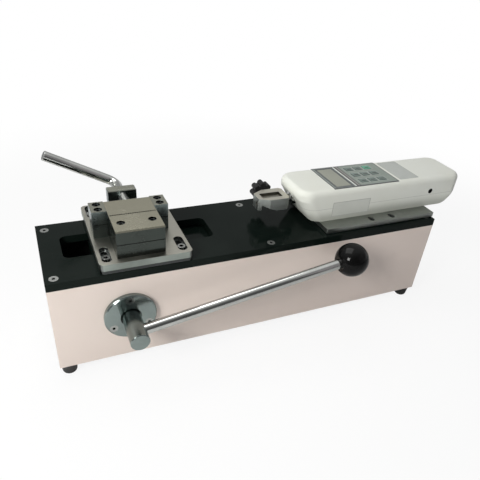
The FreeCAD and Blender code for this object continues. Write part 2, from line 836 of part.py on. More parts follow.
NECK_SCREWS = [("carriage_x + %d * (neck_length / 2 - neck_screw_inset)" % sx,
                "track_y + %d * (slot_width / 2 - neck_gap - neck_screw_inset)" % sy)
               for sx in (-1, 1) for sy in (-1, 1)]
RACK_LEFT = "lever_x - rack_lead"
RACK_RIGHT = "lever_x - rack_lead + tooth_module * pi * rack_gaps"
RACK_SCREWS = [(x, "gear_y + gear_width / 2")
               for x in (RACK_LEFT + " + rack_screw_inset", RACK_RIGHT + " - rack_screw_inset")]


def slide_plate():
    plate = block("carriage_x - base_length / 2", "slide_plate_front", SLIDE_UNDER,
                  "base_length / 2 + slide_plate_right", "slide_plate_back - slide_plate_front",
                  "slide_plate_thickness")
    neck = rounded_block("carriage_x - neck_length / 2", "track_y - slot_width / 2 + neck_gap",
                         "%s - 1" % SLIDE_TOP, "neck_length", "slot_width - 2 * neck_gap",
                         "%s + 1 - (%s)" % (CARRIAGE_PLATE, SLIDE_TOP), "slot_corner - neck_gap")
    holes = [cylinder("z", x, y, "%s - flat_screw_length" % VISE_BASE,
                      "flat_screw_radius + screw_gap", "flat_screw_length") for x, y in NECK_SCREWS]
    holes += [cap_screw_hole(x, y, SLIDE_TOP, "cap_screw_radius", "cap_head_radius",
                             "cap_head_height + 0.2", "slide_plate_thickness") for x, y in RACK_SCREWS]
    finish(cut(join(plate, neck), *holes), "slide_plate")


def carriage_plate():
    plate = rounded_block("carriage_x - base_length / 2", "0", CARRIAGE_PLATE,
                          "base_length", "carriage_plate_depth", "carriage_plate_thickness", "base_corner")
    holes = [flat_screw_hole("z", x, y, VISE_BASE, -1) for x, y in NECK_SCREWS]
    holes += [cylinder("z", x, y, CARRIAGE_PLATE, "base_screw_radius + screw_gap",
                       "carriage_plate_thickness") for x, y in BASE_SCREWS]
    finish(cut(plate, *holes), "carriage_plate")


def carriage_screws():
    screws = [flat_screw("z", x, y, VISE_BASE, -1) for x, y in NECK_SCREWS]
    screws += [cap_screw(x, y, SLIDE_TOP + " - 0.2", "cap_screw_radius", "cap_head_radius",
                         "cap_head_height", "cap_screw_length")
               for x, y in RACK_SCREWS]
    finish(group(screws), "carriage_screws")


# Vise

BASE_SLOTS = [("carriage_x + %d * (base_length / 2 - base_slot_inset)" % side, y)
              for side in (-1, 1) for y in ("base_slot_front", "base_depth - base_slot_back")]
BASE_SCREWS = [(x, y + " - base_screw_shift") for x, y in BASE_SLOTS]
BASE_HEAD_SEAT = VISE_TOP + " - base_head_height - base_head_sink"
JAW_SCREWS = [("vise_x + %d * jaw_screw_x" % side, "jaw_screw_y") for side in (-1, 1)]
GUIDE_X = {-1: "vise_x - jaw_width / 2 - guide_gap - guide_width", 1: "vise_x + jaw_width / 2 + guide_gap"}
GUIDE_SCREWS_Y = ("guide_front + guide_screw_inset", "guide_front + guide_length - guide_screw_inset")
GUIDE_SCREWS = [("%s + guide_width / 2" % GUIDE_X[side], y) for side in (-1, 1) for y in GUIDE_SCREWS_Y]
STACK_MIDDLE = VISE_TOP + " + jaw_layer"
STACK_TOP = VISE_TOP + " + 2 * jaw_layer"
SPINDLE_Z = VISE_TOP + " + spindle_height"


def vise_base():
    plate = rounded_block("carriage_x - base_length / 2", "0", VISE_BASE,
                          "base_length", "base_depth", "base_thickness", "base_corner")
    slots = []
    for x, y in BASE_SLOTS:
        slots.append(slot_hole(x, y, BASE_HEAD_SEAT, "base_slot_length",
                               "(base_head_radius + base_slot_gap)", "base_thickness"))
        narrow = "base_slot_length - 2 * (base_head_radius - base_screw_radius)"
        slots.append(slot_hole(x, y, "%s - 1" % VISE_BASE, narrow,
                               "(base_screw_radius + base_slot_gap)", "base_thickness"))
    taps = [cylinder("z", x, y, "%s - tap_depth" % VISE_TOP, "vise_screw_radius + screw_gap",
                     "tap_depth + 1") for x, y in JAW_SCREWS + GUIDE_SCREWS]
    finish(cut(plate, *(slots + taps)), "vise_base")


def vise_base_screws():
    length = "%s - (%s)" % (BASE_HEAD_SEAT, CARRIAGE_PLATE)
    screws = [cap_screw(x, y, "%s + base_head_height" % BASE_HEAD_SEAT, "base_screw_radius",
                        "base_head_radius", "base_head_height", "(%s)" % length) for x, y in BASE_SCREWS]
    finish(group(screws), "vise_base_screws")


def jaw_teeth(z, height):
    """Upright square grooves set on edge along the jaw line, shared by both jaws."""
    count = int(size("jaw_width") / size("tooth_pitch"))
    grooves = []
    for n in range(count):
        side = "tooth_depth * sqrt(2)"
        groove = doc.addObject("Part::Box", "groove")
        bind(groove, Length=side, Width=side, Height=height)
        x = "vise_x + (%d - %s) * tooth_pitch" % (n, (count - 1) / 2)
        place(groove, x, "jaw_line + jaw_gap / 2 - tooth_depth", z,
              FreeCAD.Rotation(FreeCAD.Vector(0, 0, 1), 45))
        grooves.append(groove)
    return join(*grooves)


def fixed_jaw():
    width, depth = "jaw_width", "jaw_line - jaw_front"
    left = "vise_x - jaw_width / 2"
    lower = block(left, "jaw_front", VISE_TOP, width, depth, "jaw_layer")
    bores = [cylinder("z", x, y, "%s - 1" % VISE_TOP, "vise_screw_radius + screw_gap", "jaw_layer + 2")
             for x, y in JAW_SCREWS]
    lower = bevel(lower, "Chamfer", size("jaw_parting"), on_faces(lower, "ZMax"))
    finish(cut(lower, jaw_teeth(VISE_TOP, "jaw_layer"), *bores), "fixed_jaw_block")
    cover = block(left, "jaw_front", STACK_MIDDLE, width, depth, "jaw_layer")
    cover = bevel(cover, "Chamfer", size("jaw_chamfer"), on_faces(cover, "YMin", "ZMax"))
    cover = bevel(cover, "Chamfer", size("jaw_parting"), on_faces(cover, "ZMin"))
    holes = [cap_screw_hole(x, y, STACK_TOP, "vise_screw_radius", "vise_head_radius",
                            "vise_head_depth", "jaw_layer") for x, y in JAW_SCREWS]
    finish(cut(cover, jaw_teeth(STACK_MIDDLE, "jaw_layer"), *holes), "fixed_jaw_cover")


def jaw_guides():
    lower, covers = [], []
    for side in (-1, 1):
        x = GUIDE_X[side]
        screws = [spot for spot in GUIDE_SCREWS if spot[0].startswith(x)]
        base = block(x, "guide_front", VISE_TOP, "guide_width", "guide_length", "jaw_layer")
        base = bevel(base, "Chamfer", size("jaw_parting"), on_faces(base, "ZMax"))
        bores = [cylinder("z", sx, sy, "%s - 1" % VISE_TOP, "vise_screw_radius + screw_gap", "jaw_layer + 2")
                 for sx, sy in screws]
        lower.append(cut(base, *bores))
        top = block(x, "guide_front", STACK_MIDDLE, "guide_width", "guide_length", "jaw_layer")
        top = bevel(top, "Chamfer", size("jaw_parting"), on_faces(top, "ZMin"))
        holes = [cap_screw_hole(sx, sy, STACK_TOP, "vise_screw_radius", "vise_head_radius",
                                "vise_head_depth", "jaw_layer") for sx, sy in screws]
        covers.append(cut(top, *holes))
    finish(group(lower), "jaw_guide_blocks")
    finish(group(covers), "jaw_guide_covers")


def vise_screws():
    """Long screws through both layers of the vise into its base."""
    top = STACK_TOP + " - vise_head_depth + vise_head_height"
    length = "(2 * jaw_layer - vise_head_depth + tap_depth - 0.5)"
    screws = [cap_screw(x, y, top, "vise_screw_radius", "vise_head_radius", "vise_head_height", length)
              for x, y in JAW_SCREWS + GUIDE_SCREWS]
    finish(group(screws), "vise_screws")


def moving_jaw():
    start = "jaw_line + jaw_gap"
    body = block("vise_x - jaw_width / 2", start, VISE_TOP + " + slide_gap",
                 "jaw_width", "jaw_back - jaw_line - jaw_gap", "2 * jaw_layer - slide_gap")
    seat = cylinder("y", "vise_x", "jaw_back - spindle_seat", SPINDLE_Z,
                    "spindle_radius + shaft_gap", "spindle_seat + 1")
    finish(cut(body, seat, jaw_teeth(VISE_TOP, "2 * jaw_layer")), "moving_jaw")


def screw_bracket():
    body = block("vise_x - bracket_width / 2", "bracket_front", VISE_TOP,
                 "bracket_width", "bracket_depth", "bracket_height")
    body = bevel(body, "Chamfer", size("bracket_chamfer"), on_faces(body, "ZMax"))
    bore = cylinder("y", "vise_x", "bracket_front - 1", SPINDLE_Z,
                    "spindle_radius + shaft_gap", "bracket_depth + 2")
    finish(cut(body, bore), "screw_bracket")


def vise_spindle():
    start = "jaw_back - spindle_seat + 0.3"
    shank = cylinder("y", "vise_x", start, SPINDLE_Z, "spindle_radius", "handle_start - (%s)" % start)
    tail = cylinder("y", "vise_x", "handle_start - 1", SPINDLE_Z, "spindle_tail", "spindle_tail_length + 1")
    finish(join(shank, tail), "vise_spindle")


def vise_handle():
    """One bent bar: a short leg along y, an arc, and the long leg that the hand turns."""
    arc_y = "handle_y - handle_bend"
    leg = cylinder("y", "0", "handle_start", "0", "handle_radius", "%s - handle_start" % arc_y)
    arc = doc.addObject("Part::Torus", "bend")
    bind(arc, Radius1="handle_bend", Radius2="handle_radius")
    arc.Angle3 = 90
    place(arc, "-handle_bend", arc_y, "0")
    tip = cone("x", "-handle_length", "handle_y", "0", "handle_radius - 0.6", "handle_radius", "0.6")
    arm = cylinder("x", "-handle_length + 0.6", "handle_y", "0", "handle_radius",
                   "handle_length - handle_bend - 0.6")
    bore = cylinder("y", "0", "handle_start - 1", "0", "spindle_tail", "spindle_tail_length + 1")
    finish(cut(join(leg, arc, arm, tip), bore), "vise_handle", "vise_x", "0", SPINDLE_Z, turn="handle_angle")


# Gauge

def gauge_mount_plate():
    plate = block("plate_left", "plate_front", DECK, "body_length - plate_left",
                  "plate_back - plate_front", "plate_thickness")
    plate = bevel(plate, "Chamfer", size("plate_bevel"), on_faces(plate, "ZMin"))
    slots = []
    for x, y in PLATE_SCREWS:
        slots.append(slot_hole(x, y, PLATE_HEAD, "2 * (cap_head_radius + head_gap) + plate_slot_play",
                               "(cap_head_radius + head_gap)", "plate_thickness"))
        slots.append(slot_hole(x, y, "%s - 1" % DECK, "2 * (cap_screw_radius + head_gap) + plate_slot_play",
                               "(cap_screw_radius + head_gap)", "plate_thickness"))
    finish(cut(plate, *slots), "gauge_mount_plate")


def cap_screws():
    screws = [cap_screw(x, "track_y", "%s + rail_height - 0.5" % CHANNEL_TOP, "cap_screw_radius",
                        "cap_head_radius", "cap_head_height", "cap_screw_length")
              for x in rail_screw_places()]
    screws += [cap_screw(x, y, "%s + cap_head_height" % PLATE_HEAD, "cap_screw_radius",
                         "cap_head_radius", "cap_head_height", "(cap_screw_length - 1)")
               for x, y in PLATE_SCREWS]
    finish(group(screws), "cap_screws")


def gauge_form(inset):
    """The gauge's outer form with its sloped chins, shrunk all round by an inset."""
    body = doc.addObject("PartDesign::Body", "gauge_form")
    left, right = "(%s)" % inset, "(gauge_length - (%s))" % inset
    low, high = "(%s)" % inset, "(gauge_thickness - (%s))" % inset
    corners = [(left + " + nose_chin", low), (right + " - tail_chin", low), (right, "tail_chin_height"),
               (right, high), (left, high), (left, "nose_chin_height")]
    pad(body, "XZ_Plane", corners, "gauge_width - 2 * (%s)" % inset, True)
    place(body, "gauge_left", "gauge_y - gauge_width / 2 + (%s)" % inset, GAUGE_UNDER)
    doc.recompute()
    middle = size("gauge_left") + size("gauge_length") / 2
    level = body.Shape.BoundBox.ZMax - 1
    form = body
    for radius, nose in (("nose_chin_round", True), ("tail_chin_round", False)):
        form = bevel(form, "Fillet", size(radius) - amount(inset),
                     lambda e, nose=nose: across(e) and e.BoundBox.ZMax < level
                     and (e.BoundBox.XMin < middle) == nose)
    form = overlap(overlap(form, plan_form(inset)), chin_form(inset))
    return bevel(form, "Fillet", size("gauge_edge") - amount(inset), on_faces(form, "ZMax"))


def plan_form(inset):
    """Upright prism of the gauge's plan with its rounded corners, taller than the gauge."""
    left, span = "gauge_left + (%s)" % inset, "(gauge_length / 2 - (%s))" % inset
    centre_line = "gauge_left + gauge_length / 2"
    front, depth = "gauge_y - gauge_width / 2 + (%s)" % inset, "(gauge_width - 2 * (%s))" % inset
    low, height = "%s - 5" % GAUGE_UNDER, "gauge_thickness + 10"
    nose, tail = "(gauge_nose_corner - (%s))" % inset, "(gauge_tail_corner - (%s))" % inset
    halves = []
    for start, radius, straight in ((left, nose, left + " + " + nose), (centre_line, tail, centre_line)):
        middle = block(straight, front, low, "%s - %s" % (span, radius), depth, height)
        full = block(start, "%s + %s" % (front, radius), low, span, "%s - 2 * %s" % (depth, radius), height)
        centre = straight if radius == nose else "%s + %s - %s" % (start, span, radius)
        rounds = [cylinder("z", centre, "%s + %s" % (front, offset), low, radius, height)
                  for offset in (radius, "%s - %s" % (depth, radius))]
        halves.append(join(middle, full, *rounds))
    return join(*halves)


def chin_form(inset):
    """Prism along the slope of the nose's chin, whose corners round the chin's sides."""
    form = rounded_block(inset, "(%s) - gauge_width / 2" % inset, "-gauge_length", "2 * gauge_length",
                         "gauge_width - 2 * (%s)" % inset, "2 * gauge_length",
                         "(nose_chin_corner - (%s))" % inset)
    form.Placement = FreeCAD.Placement(FreeCAD.Vector(), FreeCAD.Rotation(FreeCAD.Vector(0, 1, 0), 1))
    form.setExpression("Placement.Rotation.Angle", linked("-atan(nose_chin / nose_chin_height)"))
    return place(form, "gauge_left", "gauge_y", "%s + nose_chin_height" % GAUGE_UNDER)


def across(edge):
    return abs(edge.BoundBox.YLength - edge.Length) < 0.001


def amount(inset):
    """The inset as a number: nothing, or the gauge's wall."""
    return size(inset) if inset in DIMENSIONS else float(inset)


def half_space(low, high):
    """A block that holds all of the gauge between two heights."""
    return block("gauge_left - 5", "gauge_y - gauge_width", low,
                 "gauge_length + 10", "2 * gauge_width", "(%s) - (%s)" % (high, low))


PANEL_X = "gauge_left + panel_left"
WINDOW_X = PANEL_X + " + window_left"
KEYS = [(row, column) for row in (1, 2, 3) for column in (1, 2, 3)]
SENSOR_LEFT = GRIP_RIGHT + " - sensor_insert"
CELL_X = "gauge_left + cell_left"
BOARD_X = "gauge_left + panel_left - 6"
BOARD_POSTS = [("%s + %s" % (BOARD_X, x), "gauge_y + %d * (board_width / 2 - board_post_inset)" % side)
               for x in ("board_post_inset", "board_length - board_post_inset") for side in (-1, 1)]


def key_place(row, column):
    """Centre of a key: columns run towards the gauge's tail, rows from its back to its front."""
    x = "%s + key_first + %d * key_pitch_x" % (PANEL_X, column - 1)
    y = "gauge_y + %d * key_pitch_y" % (2 - row)
    return x, y


def key_block(row, column, z, height, margin):
    x, y = key_place(row, column)
    return block("%s - key_length / 2 - (%s)" % (x, margin), "%s - key_width / 2 - (%s)" % (y, margin), z,
                 "key_length + 2 * (%s)" % margin, "key_width + 2 * (%s)" % margin, height)


def gauge_shells():
    lower = cut(overlap(gauge_form("0"), half_space("%s - 5" % GAUGE_UNDER, GAUGE_SPLIT)),
                gauge_form("gauge_wall"), nose_hole())
    posts = [cylinder("z", x, y, "%s + gauge_wall - 1" % GAUGE_UNDER, "board_post_radius",
                      "%s - (%s) - gauge_wall + 1" % (BOARD_UNDER, GAUGE_UNDER)) for x, y in BOARD_POSTS]
    cradle = block(CELL_X, "gauge_y - cell_width / 2 + cradle_inset", "%s + gauge_wall - 1" % GAUGE_UNDER,
                   "cell_length - 2 * cradle_inset", "cell_width - 2 * cradle_inset",
                   "gauge_thickness / 2 - cell_height / 2 - gauge_wall + 1")
    finish(join(lower, cradle, *posts), "gauge_lower_shell")
    upper = overlap(gauge_form("0"), half_space(GAUGE_SPLIT, "%s + 5" % GAUGE_TOP))
    recess = block(PANEL_X, "gauge_y - panel_width / 2", PANEL_TOP + " - panel_sheet",
                   "panel_length", "panel_width", "gauge_wall")
    window = block(WINDOW_X + " + window_rim", "gauge_y - window_width / 2 + window_rim",
                   "%s - gauge_wall - 1" % GAUGE_TOP, "window_length - 2 * window_rim",
                   "window_width - 2 * window_rim", "gauge_wall + 2")
    keys = [key_block(row, column, "%s - gauge_wall - 1" % GAUGE_TOP, "gauge_wall + 2", "key_gap")
            for row, column in KEYS]
    jack = cylinder("y", "gauge_left + jack_x", "gauge_y - gauge_width / 2 - 1",
                    "%s + jack_height" % GAUGE_UNDER, "jack_radius", "gauge_wall + 2")
    openings = [nose_hole(), recess, window, jack] + keys
    finish(cut(upper, gauge_form("gauge_wall"), *openings), "gauge_upper_shell")


def nose_hole():
    return cylinder("x", "gauge_left - 1", "gauge_y", AXIS_Z, "nose_ring_radius + screw_gap",
                    "nose_ring_inset + nose_ring_length + 2")


def keypad_panel():
    sheet_z = PANEL_TOP + " - panel_sheet"
    panel = block(PANEL_X, "gauge_y - panel_width / 2", sheet_z, "panel_length", "panel_width", "panel_sheet")
    window = block(WINDOW_X, "gauge_y - window_width / 2", "%s - 1" % sheet_z,
                   "window_length", "window_width", "panel_sheet + 2")
    keys = [key_block(row, column, "%s - 1" % sheet_z, "panel_sheet + 2", "key_gap") for row, column in KEYS]
    finish(cut(panel, window, *keys), "keypad_panel")
    glass = block(WINDOW_X, "gauge_y - window_width / 2", sheet_z,
                  "window_length", "window_width", "panel_sheet - 0.2")
    finish(glass, "display_window")


def keypad_keys():
    """Nine keys, each a cap with a flange that keeps it under the upper shell's wall."""
    for row, column in KEYS:
        under = "%s - gauge_wall - key_flange_height" % GAUGE_TOP
        cap = key_block(row, column, under, "gauge_wall + key_flange_height + key_proud", "0")
        flange = key_block(row, column, under, "key_flange_height - 0.1", "key_flange")
        key = join(cap, flange)
        key = bevel(key, "Fillet", size("key_edge"), on_faces(key, "ZMax"))
        finish(key, "key_row%d_column%d" % (row, column))


def gauge_insides():
    board = block(BOARD_X, "gauge_y - board_width / 2", BOARD_UNDER,
                  "board_length", "board_width", "board_thickness")
    finish(board, "circuit_board")
    battery = rounded_block("gauge_left + gauge_length - gauge_wall - tail_chin - 12 - battery_length",
                            "gauge_y - battery_width / 2", "%s + gauge_wall" % GAUGE_UNDER,
                            "battery_length", "battery_width", "battery_height", "3")
    finish(battery, "battery_pack")
    low = "%s - cell_height / 2" % AXIS_Z
    cell = block(CELL_X, "gauge_y - cell_width / 2", low, "cell_length", "cell_width", "cell_height")
    slits = [block("%s + %s" % (CELL_X, x), "gauge_y - cell_width / 2 + (%s)" % y, "%s - 1" % low,
                   "cell_slit", "cell_width - 8", "cell_height + 2")
             for x, y in (("cell_length * 0.62", "0"), ("cell_length * 0.82", "8"))]
    bore = cylinder("x", "%s - 1" % CELL_X, "gauge_y", AXIS_Z, "sensor_radius", "9")
    finish(cut(cell, bore, *slits), "load_cell")
    jack_front = "gauge_y - gauge_width / 2 + 0.2"
    socket = cylinder("y", "gauge_left + jack_x", jack_front, "%s + jack_height" % GAUGE_UNDER,
                      "jack_radius", "jack_length")
    bore = cylinder("y", "gauge_left + jack_x", jack_front + " - 1", "%s + jack_height" % GAUGE_UNDER,
                    "jack_bore", "jack_length - 1")
    finish(cut(socket, bore), "jack_socket")


def sensor_shaft():
    shaft = cylinder("x", SENSOR_LEFT, "gauge_y", AXIS_Z, "sensor_radius",
                     "%s + 8 - (%s)" % (CELL_X, SENSOR_LEFT))
    finish(shaft, "sensor_shaft")
    ring = cylinder("x", RING_LEFT, "gauge_y", AXIS_Z, "nose_ring_radius", "nose_ring_length")
    bore = cylinder("x", RING_LEFT + " - 1", "gauge_y", AXIS_Z, "sensor_radius + nose_gap",
                    "nose_ring_length + 2")
    finish(cut(ring, bore), "nose_ring")


# Wire grip

def grip_frame():
    body = doc.addObject("PartDesign::Body", "grip")
    half, nose = "(grip_width / 2)", "(grip_nose_width / 2)"
    shoulder = "(grip_length - grip_tail_chamfer)"
    low = "(%s - grip_tail_chamfer)" % half
    corners = [("0", "-" + nose), ("grip_nose_length", "-" + half), (shoulder, "-" + half),
               ("grip_length", "-" + low), ("grip_length", low), (shoulder, half),
               ("grip_nose_length", half), ("0", nose)]
    pad(body, "XY_Plane", corners, "grip_height")
    place(body, GRIP_LEFT, "gauge_y", GRIP_UNDER)
    window = block(GRIP_LEFT + " + grip_window_left", GRIP_FRONT + " + grip_window_front",
                   "%s - 1" % GRIP_UNDER, "grip_window_length", "grip_window_width", "grip_height + 2")
    wire = cylinder("x", GRIP_LEFT + " - 1", WIRE_Y, AXIS_Z, "wire_hole_radius", "grip_window_left + 2")
    screw = cylinder("y", CLAMP_X, WINDOW_BACK + " - 1", AXIS_Z, "clamp_screw_radius + shaft_gap",
                     "grip_width")
    shaft = cylinder("x", GRIP_RIGHT + " - sensor_insert", "gauge_y", AXIS_Z, "sensor_radius",
                     "sensor_insert + 1")
    finish(cut(body, window, wire, screw, shaft, grip_undercut()), "grip_frame")


def grip_undercut():
    """Sloping relief under the grip's front, behind its nose wall."""
    wedge = doc.addObject("Part::Wedge", "wedge")
    bind(wedge, Xmin="0", X2min="0", X2max="0", Zmin="0", Zmax="grip_window_front + 1", Z2min="0",
         Z2max="grip_window_front + 1", Ymin="0", Ymax="grip_undercut_depth",
         Xmax="grip_undercut_right - grip_undercut_left")
    return place(wedge, GRIP_LEFT + " + grip_undercut_left", GRIP_FRONT + " + grip_window_front",
                 "%s - 0.01" % GRIP_UNDER, FreeCAD.Rotation(FreeCAD.Vector(1, 0, 0), 90))


PAD_FRONT = WINDOW_BACK + " - pad_gap - pad_thickness"
WIRE_Y = "(%s + grip_window_front + %s) / 2" % (GRIP_FRONT, PAD_FRONT)


def grip_pad():
    pad_block = block(GRIP_LEFT + " + grip_window_left + pad_gap", PAD_FRONT, "%s + 0.5" % GRIP_UNDER,
                      "grip_window_length - 2 * pad_gap", "pad_thickness", "grip_height - 0.5 - pad_sink")
    tip = cylinder("y", CLAMP_X, WINDOW_BACK + " - pad_gap - clamp_tip_depth", AXIS_Z,
                   "clamp_screw_radius + shaft_gap", "clamp_tip_depth + 1")
    finish(cut(pad_block, tip), "grip_pad")


def clamp_screw():
    start = WINDOW_BACK + " - pad_gap - clamp_tip_depth + 0.1"
    length = "%s + star_screw_depth - (%s)" % (STAR_FRONT, start)
    screw = cylinder("y", CLAMP_X, start, AXIS_Z, "clamp_screw_radius", length)
    finish(screw, "clamp_screw")


def star_knob():
    """A disc with round lobes, repeated round its axis."""
    body = doc.addObject("PartDesign::Body", "star")
    feature = None
    for name, off_centre, radius in (("core", "0", "star_core_radius"),
                                     ("lobe", "star_lobe_circle", "star_lobe_radius")):
        sketch = sketch_on(body, "XZ_Plane")
        sketch.addGeometry(Part.Circle(FreeCAD.Vector(5, 5, 0), FreeCAD.Vector(0, 0, 1), 5), False)
        for kind, text in (("DistanceX", "0"), ("DistanceY", off_centre)):
            rule = sketch.addConstraint(Sketcher.Constraint(kind, -1, 1, 0, 3, 5))
            sketch.setExpression("Constraints[%d]" % rule, linked(text))
        rule = sketch.addConstraint(Sketcher.Constraint("Radius", 0, 5))
        sketch.setExpression("Constraints[%d]" % rule, linked(radius))
        feature = body.newObject("PartDesign::Pad", name)
        feature.Profile = sketch
        feature.Reversed = True
        bind(feature, Length="star_thickness")
        doc.recompute()
    lobes = body.newObject("PartDesign::PolarPattern", "lobes")
    lobes.Originals = [feature]
    lobes.Axis = (plane_of(body, "Y_Axis"), [""])
    lobes.Angle = 360
    bind(lobes, Occurrences="star_lobes")
    body.Tip = lobes
    doc.recompute()
    bore = cylinder("y", "0", "-1", "0", "clamp_screw_radius", "star_screw_depth + 1")
    finish(cut(body, bore), "star_knob", CLAMP_X, STAR_FRONT, AXIS_Z)


for make in (top_plate, panels, bottom_plate, frame_posts, rubber_feet, countersunk_screws,
             lever_flange, rear_bearing_housing, shaft_bearings, pinion_shaft, retaining_rings,
             drive_pinion, gear_rack, lever_hub, lever_rod, ball_knob,
             guide_channel, guide_rail, guide_blocks, slide_plate, carriage_plate, carriage_screws,
             vise_base, vise_base_screws, fixed_jaw, jaw_guides, vise_screws, moving_jaw,
             screw_bracket, vise_spindle, vise_handle,
             gauge_mount_plate, cap_screws, gauge_shells, keypad_panel, keypad_keys, gauge_insides,
             sensor_shaft, grip_frame, grip_pad, clamp_screw, star_knob):
    make()

doc.recompute()

# Nothing is written unless every object is sound
for item in doc.Objects:
    if "Invalid" in item.State or "Error" in item.State:
        raise RuntimeError("%s (%s) is not sound: %s" % (item.Name, item.Label, item.State))
for item in nodes:
    if item.Shape.isNull() or not item.Shape.isValid():
        raise RuntimeError("the shape of %s is not valid" % item.Label)

os.makedirs("parts", exist_ok=True)
for item in nodes:
    item.Shape.exportStep("parts/%s.step" % item.Label)
    print("%-22s %2d solids  %10.1f mm3" % (item.Label, len(item.Shape.Solids), item.Shape.Volume))
print(len(nodes), "nodes")
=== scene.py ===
import bpy
import numpy as np
from mathutils import Matrix, Vector


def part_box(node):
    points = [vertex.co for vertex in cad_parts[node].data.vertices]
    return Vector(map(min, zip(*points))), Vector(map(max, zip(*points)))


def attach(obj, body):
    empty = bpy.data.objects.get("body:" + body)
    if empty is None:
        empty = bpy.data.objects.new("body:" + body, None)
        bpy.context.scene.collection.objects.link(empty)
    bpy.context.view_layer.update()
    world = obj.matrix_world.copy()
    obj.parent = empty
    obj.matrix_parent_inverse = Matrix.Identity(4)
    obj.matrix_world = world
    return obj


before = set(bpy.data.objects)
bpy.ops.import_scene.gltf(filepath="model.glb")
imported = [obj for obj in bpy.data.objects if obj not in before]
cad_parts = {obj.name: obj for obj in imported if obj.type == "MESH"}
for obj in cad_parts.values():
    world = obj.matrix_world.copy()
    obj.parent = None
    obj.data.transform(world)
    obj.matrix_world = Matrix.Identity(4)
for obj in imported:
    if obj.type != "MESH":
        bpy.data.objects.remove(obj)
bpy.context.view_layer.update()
print("frame loaded:", len(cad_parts), "nodes")

scene = bpy.context.scene
scene.view_settings.view_transform = "Standard"


